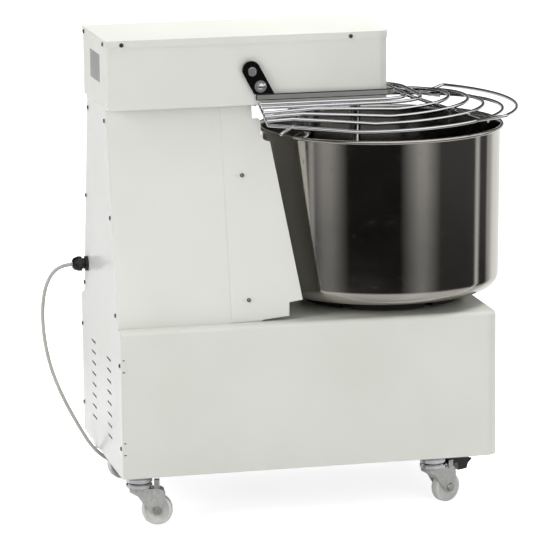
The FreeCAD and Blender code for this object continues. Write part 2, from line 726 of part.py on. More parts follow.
def corner_radii(points, share=0.45):
    """Largest arc that fits each corner: a share of the shorter run over the tangent of half the turn."""
    radii = []
    for before, corner, after in zip(points, points[1:], points[2:]):
        half = (corner - before).getAngle(after - corner) / 2
        shorter = min((corner - before).Length, (after - corner).Length)
        radii.append(share * shorter / math.tan(half))
    return radii


def rod(points, radius, radii=None):
    """Round bar along the points, with its volume checked against section times length."""
    path = rod_path(points, radii or corner_radii(points))
    start = points[0]
    profile = Part.Wire(Part.makeCircle(radius, start, points[1] - start))
    solid = path.makePipeShell([profile], True, False)
    expected = math.pi * radius ** 2 * path.Length
    if not solid.isValid() or abs(solid.Volume - expected) > 0.02 * expected:
        raise RuntimeError(f"a rod came out wrong: {solid.Volume:.0f} against {expected:.0f}")
    return solid


def spiral():
    """Spiral hook on its shaft: a round bar that winds down one and a half turns."""
    axle = S.shaft_radius
    node("spiral_shaft", turned("spiral_shaft", [(0, 640), (axle, 640), (axle, 784), (0, 784)],
                                0, back(S.spiral_setback)))
    reach = S.spiral_reach.value
    first = S.head_floor.value - 62
    last = S.bowl_foot.value + 20
    steps = 13
    coil = []
    for step in range(steps):
        angle = math.radians(90 + step * 45)
        grow = min(1.0, 0.55 + 0.25 * step)
        height = first - 20 - (first - 20 - last) * step / (steps - 1)
        coil.append(Vector(reach * grow * math.cos(angle), reach * grow * math.sin(angle), height))
    tail_angle = math.radians(90 + (steps - 1) * 45 + 50)
    tail = Vector(reach * 0.45 * math.cos(tail_angle), reach * 0.45 * math.sin(tail_angle), last)
    points = [Vector(0, 0, first + 9), Vector(0, 0, first - 12)] + coil + [tail]
    bar = rod(points, S.spiral_rod.value)
    boss = Part.makeCylinder(19, 34, Vector(0, 0, first + 4))
    socket = Part.makeCylinder(axle.value + 0.02, 60, Vector(0, 0, first + 10))
    shape = bar.fuse(boss).cut(socket)
    node("spiral_hook", place(shaped("spiral_hook", shape), 0, back(S.spiral_setback), 0))
    bearing("spiral_bearings", (S.spiral_setback, HEAD_PLATE - 25), (S.spiral_setback, HEAD_PLATE + 20))
    sprocket("spiral_sprocket", S.spiral_pitch, 24, S.spiral_setback, S.high_chain, 758, 778)


def breaker_bar():
    radius = S.bar_radius
    foot = S.bowl_foot + 14
    profile = [(0, foot), (radius - 3, foot), (radius, foot + 3), (radius, HEAD_PLATE), (8, HEAD_PLATE),
               (8, HEAD_PLATE + 22), (0, HEAD_PLATE + 22)]
    node("breaker_bar", turned("breaker_bar", profile, 0, back(S.bar_setback)))
    body = new_body("bar_nut")
    corners = [(14 * math.cos(math.radians(60 * k)), 14 * math.sin(math.radians(60 * k))) for k in range(6)]
    pad(body, outline(body, "XY_Plane", corners), 11)
    place(body, 0, back(S.bar_setback), HEAD_PLATE + 8)
    thread = cylinder("nut_thread", 8.05, 20, 0, back(S.bar_setback), HEAD_PLATE + 5)
    node("bar_nut", cut("bar_nut", body, thread))


# ---------------------------------------------------------------- guard

# radius of the front arc, setback and level of its centre, its rise towards the operator per millimetre,
# corner (setback, z), share of the end bar at which it starts
RINGS = [
    (204, 493.4, 651.2, 0.033, (268, 655.6), None),
    (171, 493.4, 659.3, 0.039, (309, 664.5), 0.80),
    (145, 493.4, 667.1, 0.053, (325, 672.5), 0.59),
    (117.2, 488.2, 673.4, 0.051, (347, 680.5), 0.42),
]
RING_SIDE = 118.3
END_BAR = (Vector(RING_SIDE, S.rear_face.value - 252.8, 691.6),
           Vector(RING_SIDE, S.rear_face.value - 268, 655.6))


def mirrored(point, side):
    """The point on the given side of the middle plane."""
    return Vector(point.x * side, point.y, point.z)


def wire_run(*points):
    """Straight wires through the points, with a weld bead at every kink and end."""
    radius = S.wire.value
    solids = []
    for start, end in zip(points, points[1:]):
        run = end - start
        solids.append(Part.makeCylinder(radius, run.Length, start, run))
        solids.append(Part.makeSphere(radius + 0.3, start, run))
    solids.append(Part.makeSphere(radius + 0.3, points[-1], run))
    return solids


def guard_ring(radius, centre, level, rise, corner, share):
    """Solids of one ring: arc over the bowl's rim, tangent straights back to the end bars."""
    axis_y = back(centre).value
    tilt = math.atan(rise)
    bend = Vector(RING_SIDE, S.rear_face.value - corner[0], corner[1])
    off_x, off_y = bend.x, bend.y - axis_y
    angle = math.atan2(off_y, off_x) - math.acos(radius / math.hypot(off_x, off_y))
    touch = Vector(radius * math.cos(angle), axis_y + radius * math.sin(angle) * math.cos(tilt),
                   level - radius * math.sin(angle) * math.sin(tilt))
    arc = Part.makeTorus(radius, S.wire.value, Vector(), Vector(0, 0, 1), -180, 180,
                         180 + 2 * math.degrees(angle))
    arc.rotate(Vector(), Vector(0, 0, 1), 180 - math.degrees(angle))
    arc.rotate(Vector(), Vector(1, 0, 0), -math.degrees(tilt))
    arc.translate(Vector(0, axis_y, level))
    solids = [arc]
    points = [touch, bend]
    if share is not None:
        points.append(END_BAR[0] + (END_BAR[1] - END_BAR[0]) * share)
    for side in (-1, 1):
        solids += wire_run(*(mirrored(point, side) for point in points))
    return solids


def inner_ring(front, level, corner):
    """A ring close to the head: straight sides, rounded corners, flat front."""
    y = S.rear_face.value
    radius = S.wire.value
    top, foot = END_BAR
    start = top + (foot - top) * ((top.z - level) / (top.z - foot.z))
    turn_y = y - front + corner
    turn_x = RING_SIDE - corner
    front_run = Part.makeCylinder(radius, 2 * turn_x, Vector(-turn_x, y - front, level), Vector(1, 0, 0))
    solids = [front_run]
    for side, first in ((-1, 180), (1, 270)):
        solids.append(Part.makeCylinder(radius, start.y - turn_y, Vector(side * RING_SIDE, turn_y, level),
                                        Vector(0, 1, 0)))
        bend = Part.makeTorus(corner, radius, Vector(), Vector(0, 0, 1), -180, 180, 90)
        bend.rotate(Vector(), Vector(0, 0, 1), first)
        bend.translate(Vector(side * turn_x, turn_y, level))
        solids.append(bend)
    return solids


def front_lip():
    """Shallow arc in front of the rings, its ends bent back onto the outer ring."""
    y = S.rear_face.value
    level = S.lip_level.value
    radius = S.lip_radius.value
    end = Vector(191, y - 653.4, level)
    half = math.degrees(math.asin(end.x / radius))
    arc = Part.makeTorus(radius, S.wire.value, Vector(), Vector(0, 0, 1), -180, 180, 2 * half)
    arc.rotate(Vector(), Vector(0, 0, 1), -90 - half)
    arc.translate(Vector(0, end.y + radius * math.cos(math.radians(half)), level))
    solids = [arc]
    for side in (-1, 1):
        solids += wire_run(mirrored(end, side), Vector(side * 167, y - 610, 655.5))
    return solids


def guard_grille():
    """Wire guard over the bowl, one welded piece."""
    y = S.rear_face.value
    solids = []
    for ring in RINGS:
        solids += guard_ring(*ring)
    solids += inner_ring(545, 685.5, 70)
    solids += inner_ring(512, END_BAR[0].z, 45)
    solids += front_lip()
    for side in (-1, 1):
        solids += wire_run(*(mirrored(point, side) for point in END_BAR))
        # spoke under all rings, and the short rod that stops the guard on the bowl
        solids += wire_run(Vector(side * 36.3, y - 513.2, 688.9), Vector(side * 150.5, y - 635.2, 651.2))
        solids += wire_run(Vector(side * 124, y - 312, 655), Vector(side * 180, y - 275, 650))
    welded = solids[0].fuse(solids[1:])
    print("guard grille:", len(welded.Solids), "solid")
    node("guard_grille", shaped("guard_grille", welded))


def guard_rail():
    outer = rounded_block("rail_outer", S.bracket_plane + S.bracket_thick, back(247), back(S.rail_front),
                          S.rail_low, S.rail_high, dim(22))
    inner = rounded_block("rail_inner", S.bracket_plane, back(240), back(S.rail_front) + S.bracket_thick,
                          S.rail_low - 5, S.rail_high + 5, dim(18))
    node("guard_rail", cut("guard_rail", outer, inner))


# height of a bracket's round end above the pivot's axis
EYE_LIFT = 3.2


def guard_brackets():
    """Slanted strips that hang from the pivot shaft and carry the rail."""
    strips = []
    slant = FreeCAD.Rotation(Vector(1, 0, 0), -28)
    for side in (-1, 1):
        low_x = S.bracket_plane if side > 0 else -S.bracket_plane - S.bracket_thick
        strip = DOC.addObject("Part::Box", "strip")
        bind(strip, Length=S.bracket_thick, Width=S.bracket_half * 2, Height=60 + EYE_LIFT)
        corner = slant.multVec(Vector(0, -S.bracket_half.value, -60))
        place(strip, low_x, back(S.pivot_setback) + corner.y, S.pivot_height + corner.z, slant)
        crown = slant.multVec(Vector(0, 0, EYE_LIFT))
        eye = cylinder("eye", S.bracket_half, S.bracket_thick, low_x, back(S.pivot_setback) + crown.y,
                       S.pivot_height + crown.z, ALONG_X)
        strips.append(fuse("bracket", strip, eye))
    trim = box("trim", (-130, 130), (back(330), back(200)), (640, S.rail_high))
    pivot = cylinder("pivot_bore", S.pivot_radius + 0.02, 260, -130, back(S.pivot_setback), S.pivot_height,
                     ALONG_X)
    screw = cylinder("bracket_bore", 3.05, 260, -130, back(254.4), 721.7, ALONG_X)
    group = DOC.addObject("Part::Compound", "bracket_pair")
    group.Links = strips
    node("guard_brackets", cut("guard_brackets", group, trim, pivot, screw))


def guard_hardware():
    half = (S.bracket_plane + S.bracket_thick + 2.5) * 2
    rod_body = cylinder("pivot_rod", S.pivot_radius, half, -half / 2, back(S.pivot_setback), S.pivot_height,
                        ALONG_X)
    flats = [box("flat", (low, low + 2.4), (back(S.pivot_setback + 12), back(S.pivot_setback + 5)),
                 (S.pivot_height - 10, S.pivot_height + 10)) for low in (-half / 2 - 0.1, half / 2 - 2.3)]
    node("guard_pivot_shaft", cut("guard_pivot_shaft", rod_body, *flats))
    bushes = []
    for rotation, side in ((ALONG_X, 1), (ALONG_MINUS_X, -1)):
        profile = [(S.pivot_radius + S.fit, -6), (8.9, -6), (8.9, 0), (12, 0), (12, 3.8),
                   (S.pivot_radius + S.fit, 3.8)]
        bushes.append(turned("bush", profile, HEAD_HALF * side, back(S.pivot_setback), S.pivot_height,
                             rotation))
    group = DOC.addObject("Part::Compound", "guard_bushes")
    group.Links = bushes
    node("guard_bushes", group)
    screws = []
    for rotation, side in ((ALONG_X, 1), (ALONG_MINUS_X, -1)):
        profile = [(0, -4), (3, -4), (3, 0), (10, 0), (10, 1.6), (5.8, 1.6), (5.4, 3.4), (4.2, 4.9),
                   (2.2, 5.8), (0, 6.1)]
        screws.append(turned("dome", profile, (S.bracket_plane + S.bracket_thick) * side,
                             back(254.4), 721.7, rotation))
    group = DOC.addObject("Part::Compound", "guard_screws")
    group.Links = screws
    node("guard_screws", group)
    case = box("switch_case", (76, 96), (back(262), back(226)), (761, 784))
    roller = box("switch_lever", (82, 90), (back(250), back(232)), (756.5, 761))
    node("guard_switch", fuse("guard_switch", case, roller))


# ---------------------------------------------------------------- controls, cord

BUTTON_LEVELS = (765.0, 730.0)


def controls():
    plate = box("plate_blank", (HEAD_HALF, HEAD_HALF + 2),
                (back(S.button_setback + 24), back(S.button_setback - 24)), (708, 788))
    holes = [cylinder("plate_hole", 9, 10, HEAD_HALF - 5, back(S.button_setback), z, ALONG_X)
             for z in BUTTON_LEVELS]
    node("button_plate", cut("button_plate", plate, *holes))
    for name, z, rise in (("start_button", BUTTON_LEVELS[0], 6), ("stop_button", BUTTON_LEVELS[1], 10)):
        cap = S.button_radius
        profile = [(0, -12), (8.6, -12), (8.6, 6.5), (cap, 6.5), (cap, rise + 3), (cap - 2, rise + 5),
                   (0, rise + 5.6)]
        node(name, turned(name, profile, HEAD_HALF, back(S.button_setback), z, ALONG_X))


def cable_gland():
    """Nylon gland: thread through the cover, hexagon, clamping dome."""
    profile = [(S.cord_radius + 0.6, -9), (8, -9), (8, 0), (12.2, 0), (12.2, 5), (9.2, 6.5), (9.2, 9.5),
               (11.6, 11), (12, 19), (10.5, 24), (7, 27), (S.cord_radius + 0.6, 27)]
    core = turned("gland_core", profile, S.gland_side, S.rear_face, S.gland_height, ALONG_Y)
    hexes = []
    for foot, length in ((0.5, 4.5), (11, 7.5)):
        body = new_body("gland_hex")
        corners = [(13.4 * math.cos(math.radians(60 * k)), 13.4 * math.sin(math.radians(60 * k)))
                   for k in range(6)]
        pad(body, outline(body, "XY_Plane", corners), length)
        hexes.append(place(body, S.gland_side, S.rear_face + foot, S.gland_height, ALONG_Y))
    room = cylinder("gland_room", S.cord_radius + 0.6, 60, S.gland_side, S.rear_face - 12, S.gland_height,
                    ALONG_Y)
    node("cable_gland", cut("cable_gland", fuse("gland_blank", core, *hexes), room))


# route of the cord: x, distance behind the rear face, z
CORD_ROUTE = [
    (112.8, 22, 395.0), (112.8, 44, 394.0), (112.8, 63, 381.0), (113.0, 76, 354.0), (113.0, 81, 314.0),
    (111.0, 79, 266.0), (102.0, 70, 216.0), (86.0, 53, 168.0), (66.0, 31, 123.0), (50.0, 9, 84.0),
    (47.0, -20, 60.0), (60.0, -58, 44.0), (88.0, -96, 28.0), (126.0, -130, 12.0), (170.0, -154, 3.3),
    (216.0, -166, 3.3), (262.0, -171, 3.3),
]


def power_cord():
    route = [Vector(x, S.rear_face.value + behind, z) for x, behind, z in CORD_ROUTE]
    radii = corner_radii(route)
    print("cord radii", [round(radius) for radius in radii])
    path = rod_path(route, radii)
    print("cord tube", round(path.Length), "mm")
    node("power_cord", shaped("power_cord", rod(route, S.cord_radius.value, radii)))
    middle = S.coil_middle
    node("cord_coil", turned("cord_coil", ring_profile(middle - 8, middle + 8, 0, 18),
                             S.coil_x, back(S.coil_setback), 0))
    body = [(0, 0), (4.5, 0), (6.5, 18), (14, 24), (19, 30), (19, 58), (17, 60), (0, 60)]
    line = back(S.coil_setback + S.coil_middle)
    shell = turned("plug_shell", body, S.coil_x + 14, line, 37.2, ALONG_MINUS_X)
    pins = [cylinder("pin", 2.4, 19, S.coil_x - 45, line + shift, 37.2, ALONG_MINUS_X)
            for shift in (-9.5, 9.5)]
    node("power_plug", fuse("power_plug", shell, *pins))


# ---------------------------------------------------------------- casters

# side, setback and swing of each caster
CASTERS = {
    "rear_left": (-1, S.rear_caster, -12.0),
    "rear_right": (1, S.rear_caster, 15.0),
    "front_left": (-1, S.front_caster, 26.0),
    "front_right": (1, S.front_caster, 8.0),
}


def caster_mounts():
    """Screw plates with the upper ball races, one per caster."""
    mounts = []
    for side, setback, _ in CASTERS.values():
        x = S.caster_side * side
        y = back(setback)
        plate = box("pad", (x - 28, x + 28), (y - 29, y + 29), (S.deck - 2.5, S.deck))
        race = turned("race", [(0, 72.2), (18.5, 72.2), (S.race_radius, 74.5), (S.race_radius, 79.5),
                               (20, 82.5), (17, 84), (17, 88), (0, 88)], x, y, 0)
        mounts.append(fuse("mount", plate, race))
    group = DOC.addObject("Part::Compound", "caster_mounts")
    group.Links = mounts
    node("caster_mounts", group)


LEVER_WIDTH = 26
BRAKE_PIN = (-28.5, 70.0)
BRAKE_PIN_RADIUS = 1.5


def pin_ears(name, x, y, turn):
    """Saddle across the fork's crown, with two ears that hold the brake lever's pin."""
    half = LEVER_WIDTH / 2 + 0.4
    pieces = []
    for label, low_x, width, low_z, high_z in (("saddle", -half - 2, 2 * half + 4, 60, 63),
                                               ("ear_left", -half - 2, 2, 60, 74),
                                               ("ear_right", half, 2, 60, 74)):
        block = DOC.addObject("Part::Box", f"{label}_{name}")
        bind(block, Length=width, Width=9, Height=high_z - low_z)
        corner = turn.multVec(Vector(low_x, -33, low_z))
        pieces.append(place(block, x + corner.x, y + corner.y, corner.z, turn))
    start = turn.multVec(Vector(-half - 3, *BRAKE_PIN))
    pieces.append(cylinder(f"brake_pin_{name}", BRAKE_PIN_RADIUS, 2 * half + 6, x + start.x, y + start.y,
                           start.z, turn.multiply(ALONG_X)))
    return pieces


def caster(name, side, setback, swing, braked):
    """One swivel caster in its own turned frame: fork with the lower race, wheel, axle bolt, brake."""
    x = S.caster_side * side
    y = back(setback)
    turn = FreeCAD.Rotation(Vector(0, 0, 1), swing)
    across = turn.multiply(ALONG_X)
    inner = S.wheel_width / 2 + 1.6
    outer = inner + 2.4
    top = S.fork_top
    hub = turn.multVec(Vector(0, -S.caster_trail.value, 0))
    wheel_x, wheel_y, axle = x + hub.x, y + hub.y, S.wheel_radius

    body = new_body(f"fork_blank_{name}")
    side_view = [(16, top), (16, top - 5), (2, top - 13), (-6, top - 25), (-19, 22), (-24, 17), (-34, 17),
                 (-39, 22), (-43, top - 13), (-40, top - 3), (-34, top)]
    pad(body, outline(body, "YZ_Plane", side_view), outer * 2, False, True)
    gap_view = [(-70, 5), (-70, top - 3), (10.5, top - 3), (-1.5, top - 14.5), (-4, top - 19), (30, top - 19),
                (30, 5)]
    gap = body.newObject("PartDesign::Pocket", "wheel_gap")
    gap.Profile = outline(body, "YZ_Plane", gap_view, "gap")
    bind(gap, Length=inner * 2)
    gap.Midplane = True
    place(body, x, y, 0, turn)
    race = turned(f"low_race_{name}", [(0, top - 1), (17, top - 1), (S.race_radius, top + 2),
                                       (S.race_radius, top + 6.5), (18.5, top + 8.5), (0, top + 8.5)],
                  x, y, 0)
    if not braked:
        lug = DOC.addObject("Part::Box", f"lug_{name}")
        bind(lug, Length=10, Width=9, Height=13)
        corner = turn.multVec(Vector(2, -33.5, 0))
        place(lug, x + corner.x, y + corner.y, top - 1, turn)
    ends = turn.multVec(Vector(-40, 0, 0))
    bore = cylinder(f"fork_bore_{name}", 4.05, 80, wheel_x + ends.x, wheel_y + ends.y, axle, across)
    weld = [body, race] + (pin_ears(name, x, y, turn) if braked else [lug])
    node(f"{name}_fork", cut(f"fork_{name}", fuse(f"fork_weld_{name}", *weld), bore))

    tyre = S.wheel_width / 2
    rolling = [(4.1, -tyre - 1.2), (8, -tyre - 1.2), (8, -tyre + 1), (20, -tyre + 1), (21.5, -tyre),
               (axle - 1.5, -tyre), (axle, -tyre + 3), (axle, tyre - 3), (axle - 1.5, tyre), (21.5, tyre),
               (20, tyre - 1), (8, tyre - 1), (8, tyre + 1.2), (4.1, tyre + 1.2)]
    node(f"{name}_wheel", turned(f"wheel_{name}", rolling, wheel_x, wheel_y, axle, across))

    reach = outer
    bolt = turned(f"bolt_{name}", [(0, -reach - 4), (6.8, -reach - 4), (6.8, -reach), (4, -reach), (4, reach),
                                   (7.2, reach), (7.2, reach + 2.6), (6.2, reach + 4), (0, reach + 4)],
                  wheel_x, wheel_y, axle, turn.multiply(ALONG_MINUS_X))
    node(f"{name}_axle", bolt)

    if braked:
        lever = new_body(f"lever_{name}")
        view = [(-24.5, top + 3.5), (-24.5, top + 13), (-40, top + 12), (-72, top + 8), (-79, top + 6),
                (-69, top - 1), (-66, top - 10), (-47, top - 10), (-45, top + 3.5)]
        pad(lever, outline(lever, "YZ_Plane", view), LEVER_WIDTH, False, True)
        place(lever, x, y, 0, turn)
        start = turn.multVec(Vector(-30, *BRAKE_PIN))
        eye = cylinder(f"lever_eye_{name}", BRAKE_PIN_RADIUS + S.fit, 60, x + start.x, y + start.y,
                       start.z, across)
        node(f"{name}_brake", cut(f"brake_{name}", lever, eye))


def build():
    base_shell()
    rear_cover()
    column_side("column_side_left", -1)
    column_side("column_side_right", 1)
    column_front_cover()
    head_shell()
    head_lid()
    panel_screws()
    rating_plate()
    base_frame()
    column_frame()
    head_frame()
    motor()
    gear_reducer()
    drive()
    bowl()
    bowl_drive()
    spiral()
    breaker_bar()
    guard_grille()
    guard_rail()
    guard_brackets()
    guard_hardware()
    controls()
    cable_gland()
    power_cord()
    caster_mounts()
    for name, (side, setback, swing) in CASTERS.items():
        caster(name, side, setback, swing, name.startswith("front"))


def export():
    """Recompute, check every object, and write one STEP file per node."""
    DOC.recompute()
    for obj in DOC.Objects:
        if "Invalid" in obj.State or "Error" in obj.State:
            raise RuntimeError(f"{obj.Name} ({obj.Label}) failed: {obj.State}")
    os.makedirs("parts", exist_ok=True)
    for label, obj in NODES.items():
        shape = obj.Shape
        if shape.isNull() or not shape.isValid() or not shape.Solids:
            raise RuntimeError(f"{label} has no valid solid")
        shape.exportStep(f"parts/{label}.step")
    print(len(NODES), "nodes")


build()
export()
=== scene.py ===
"""Looks of a spiral dough mixer on casters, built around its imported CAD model.

Each sub-assembly of the machine is a class with its sizes as fields. It builds or refines its own
pieces and dresses them in the finish that the real one has. Sizes are metres, unless a name or a
docstring says millimetres. +Z is up, and the operator stands at -Y.
"""
from __future__ import annotations

import json
import logging
import math
from collections.abc import Callable
from dataclasses import dataclass, field
from enum import Enum
from functools import reduce

import bmesh
import bpy
from mathutils import Matrix, Quaternion, Vector

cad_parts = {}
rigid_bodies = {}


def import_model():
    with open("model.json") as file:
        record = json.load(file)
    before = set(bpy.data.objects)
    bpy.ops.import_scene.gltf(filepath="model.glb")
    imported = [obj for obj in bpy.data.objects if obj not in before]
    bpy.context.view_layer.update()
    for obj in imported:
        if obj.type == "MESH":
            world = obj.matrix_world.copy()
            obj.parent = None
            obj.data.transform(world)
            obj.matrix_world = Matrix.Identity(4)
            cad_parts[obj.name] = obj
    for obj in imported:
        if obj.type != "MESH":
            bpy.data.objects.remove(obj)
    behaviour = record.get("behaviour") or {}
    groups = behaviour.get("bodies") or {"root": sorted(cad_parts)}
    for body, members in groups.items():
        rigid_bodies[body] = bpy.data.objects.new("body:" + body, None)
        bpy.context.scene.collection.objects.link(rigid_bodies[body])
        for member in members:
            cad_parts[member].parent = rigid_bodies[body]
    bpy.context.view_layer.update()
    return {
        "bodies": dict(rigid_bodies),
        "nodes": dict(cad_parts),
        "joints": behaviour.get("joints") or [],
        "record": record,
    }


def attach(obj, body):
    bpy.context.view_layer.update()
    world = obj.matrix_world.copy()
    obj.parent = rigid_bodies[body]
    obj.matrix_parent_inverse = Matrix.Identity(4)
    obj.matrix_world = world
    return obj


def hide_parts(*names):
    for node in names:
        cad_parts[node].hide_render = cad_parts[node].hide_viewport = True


LOG = logging.getLogger("mixer")
MM = 0.001
REAR_FACE = 358.25 * MM
UP = Vector((0, 0, 1))
WHITE = (1.0, 1.0, 1.0, 1.0)

SAME_SPOT = 1e-6  # corners closer than this are one corner
CAD_SEAM = 2e-6  # gap across which the faces of a CAD mesh are joined
FLAT = math.radians(0.4)  # faces that meet at less than this are one face
STRAIGHT = 0.01  # a wire that turns by less than twice this many radians isn't bent

Pair = tuple[float, float]
Spot = tuple[float, float, float]
Piece = bpy.types.Object
Node = bpy.types.Node
Tree = bpy.types.NodeTree
Socket = bpy.types.NodeSocket
Mesh = bmesh.types.BMesh


# ---------------- helpers for materials


def linear(code: str) -> tuple[float, float, float, float]:
    """Turn an sRGB hex colour into linear RGBA.

    Args:
        code: A hash and six hex digits.

    Returns:
        Linear red, green, blue and an alpha of one.
    """
    parts = [int(code[i:i + 2], 16) / 255 for i in (1, 3, 5)]
    red, green, blue = (p / 12.92 if p <= 0.04045 else ((p + 0.055) / 1.055) ** 2.4 for p in parts)
    return red, green, blue, 1.0


def add(tree: Tree, kind: str, settings: dict | None = None, links: dict | None = None) -> Node:
    """Add a node with its settings and links.

    Args:
        tree: Tree that gets the node.
        kind: Blender's node type.
        settings: Input names or numbers, or attributes of the node, with their values.
        links: Input names or numbers with the sockets that feed them.

    Returns:
        The new node.
    """
    node = tree.nodes.new(kind)
    for name, value in (settings or {}).items():
        if isinstance(name, int) or name in node.inputs:
            node.inputs[name].default_value = value
        else:
            setattr(node, name, value)
    for name, source in (links or {}).items():
        tree.links.new(source, node.inputs[name])
    return node


def noise(tree: Tree, place: Socket, size_mm: float, detail: float, coarse: float = 0.5) -> Socket:
    """Cloudy value between zero and one.

    Args:
        tree: Tree that gets the node.
        place: Position on the piece.
        size_mm: Size of the largest clouds.
        detail: How many times finer clouds are laid over them.
        coarse: Strength of each finer layer against the one before.

    Returns:
        The value.
    """
    settings = {"Scale": 1000.0 / size_mm, "Detail": detail, "Roughness": coarse}
    return add(tree, "ShaderNodeTexNoise", settings, {"Vector": place}).outputs["Fac"]


def mapped(tree: Tree, value: Socket, before: Pair, after: Pair = (0.0, 1.0)) -> Socket:
    """Carry a value over from one range to another, and hold it at the ends."""
    settings = dict(zip(("From Min", "From Max", "To Min", "To Max"), before + after))
    return add(tree, "ShaderNodeMapRange", settings, {"Value": value}).outputs[0]


def reckon(tree: Tree, operation: str, first: Socket, second: Socket) -> Socket:
    """Result of one of Blender's math operations on two values."""
    return add(tree, "ShaderNodeMath", {"operation": operation}, {0: first, 1: second}).outputs[0]


def either(tree: Tree, test: Socket, usual: Socket, instead: Socket) -> Socket:
    """The usual shader, or the other one where the test is one."""
    return add(tree, "ShaderNodeMixShader", links={0: test, 1: usual, 2: instead}).outputs[0]


# ---------------- finishes


@dataclass(frozen=True)
class Finish:
    """A surface as it is made: its colour and how it takes light."""

    name: str
    colour: str
    roughness: float

    def build(self) -> bpy.types.Material:
        """Make the material."""
        material = bpy.data.materials.new(self.name)
        material.use_nodes = True
        tree = material.node_tree
        tree.nodes.clear()
        place = add(tree, "ShaderNodeTexCoord").outputs["Object"]
        surface = add(tree, "ShaderNodeBsdfPrincipled", {"Base Color": linear(self.colour),
                                                         "Roughness": self.roughness})
        self.dress(tree, place, surface)
        add(tree, "ShaderNodeOutputMaterial", links={"Surface": surface.outputs[0]})
        return material

    def dress(self, tree: Tree, place: Socket, surface: Node) -> None:
        """Add the detail of this kind of surface to the plain shader."""

    def wander(self, tree: Tree, value: Socket, before: Pair, shift: Pair) -> Socket:
        """Roughness that follows a value's range, from the finish's own by the two shifts."""
        return mapped(tree, value, before, (self.roughness + shift[0], self.roughness + shift[1]))

    def relief(self, tree: Tree, height: Socket, depth_mm: float, strength: float,
               surface: Node) -> None:
        """Give the surface a fine relief of the stated depth."""
        bump = add(tree, "ShaderNodeBump", {"Strength": strength, "Distance": depth_mm * MM},
                   {"Height": height})
        tree.links.new(bump.outputs[0], surface.inputs["Normal"])


@dataclass(frozen=True)
class TonedFinish(Finish):
    """A surface whose colour wanders between its own and a darker one."""

    darker: str

    def tone(self, tree: Tree, factor: Socket, surface: Node) -> None:
        """Let the colour follow a factor from its own to the darker one."""
        mix = add(tree, "ShaderNodeMix",
                  {"data_type": "RGBA", 6: linear(self.colour), 7: linear(self.darker)},
                  {"Factor": factor})
        tree.links.new(mix.outputs[2], surface.inputs["Base Color"])


@dataclass(frozen=True)
class PowderCoat(TonedFinish):
    """Baked polyester powder on sheet steel: satin, with a faint orange peel."""

    def dress(self, tree: Tree, place: Socket, surface: Node) -> None:
        """Orange peel a few millimetres across, a slow drift in tone, thin gloss on top."""
        peel = noise(tree, place, size_mm=2.4, detail=2.0)
        drift = noise(tree, place, size_mm=200.0, detail=3.0)
        self.tone(tree, mapped(tree, drift, (0.35, 0.65)), surface)
        sheen = self.wander(tree, peel, (0.3, 0.7), (-0.03, 0.05))
        tree.links.new(sheen, surface.inputs["Roughness"])
        self.relief(tree, peel, 0.035, 0.5, surface)


@dataclass(frozen=True)
class BrushedStainless(Finish):
    """Stainless sheet turned and brushed on a lathe: the grain runs round the axis."""

    def dress(self, tree: Tree, place: Socket, surface: Node) -> None:
        """Fine rings of grain, which stretch every reflection upright, and faint wipe marks."""
        surface.inputs["Metallic"].default_value = 1.0
        surface.inputs["Anisotropic"].default_value = 0.6
        surface.inputs["Anisotropic Rotation"].default_value = 0.25
        around = add(tree, "ShaderNodeTangent", {"direction_type": "RADIAL", "axis": "Z"})
        tree.links.new(around.outputs[0], surface.inputs["Tangent"])
        # the grain is drawn coarser than the real 0.1 mm so that it shows at this distance
        per_metre_round, per_metre_up = 6.0, 1000.0 / 0.9
        grain_place = add(tree, "ShaderNodeMapping",
                          {"Scale": (per_metre_round, per_metre_round, per_metre_up)},
                          {"Vector": place})
        grain = noise(tree, grain_place.outputs[0], size_mm=1000.0, detail=4.0, coarse=0.7)
        wiped = noise(tree, place, size_mm=22.0, detail=6.0, coarse=0.7)
        haze = mapped(tree, wiped, (0.60, 0.74), (0.0, 0.12))
        cloud = noise(tree, place, size_mm=62.5, detail=5.0, coarse=0.65)
        both = reckon(tree, "ADD", cloud, grain)
        rough = self.wander(tree, both, (0.7, 1.3), (-0.03, 0.03))
        tree.links.new(reckon(tree, "ADD", rough, haze), surface.inputs["Roughness"])
        self.relief(tree, grain, 0.008, 0.3, surface)


@dataclass(frozen=True)
class BrightMetal(Finish):
    """Chrome, nickel or polished steel: a mirror with a trace of handling in its gloss."""

    smear: float
    cloud_mm: float = 30.0

    def dress(self, tree: Tree, place: Socket, surface: Node) -> None:
        """Full metal, with the gloss wandering slightly over each piece."""
        surface.inputs["Metallic"].default_value = 1.0
        cloud = noise(tree, place, self.cloud_mm, detail=4.0)
        rough = self.wander(tree, cloud, (0.3, 0.7), (0.0, self.smear))
        tree.links.new(rough, surface.inputs["Roughness"])


@dataclass(frozen=True)
class ZincPlate(TonedFinish):
    """Zinc-plated pressed steel: dull grey metal with a fine mottle."""

    metallic: float

    def dress(self, tree: Tree, place: Socket, surface: Node) -> None:
        """Mottle of a few millimetres in tone and gloss, and a shallow press texture."""
        surface.inputs["Metallic"].default_value = self.metallic
        mottle = noise(tree, place, size_mm=5.0, detail=5.0, coarse=0.6)
        self.tone(tree, mapped(tree, mottle, (0.35, 0.65)), surface)
        rough = self.wander(tree, mottle, (0.3, 0.7), (-0.06, 0.08))
        tree.links.new(rough, surface.inputs["Roughness"])
        self.relief(tree, mottle, 0.05, 0.4, surface)


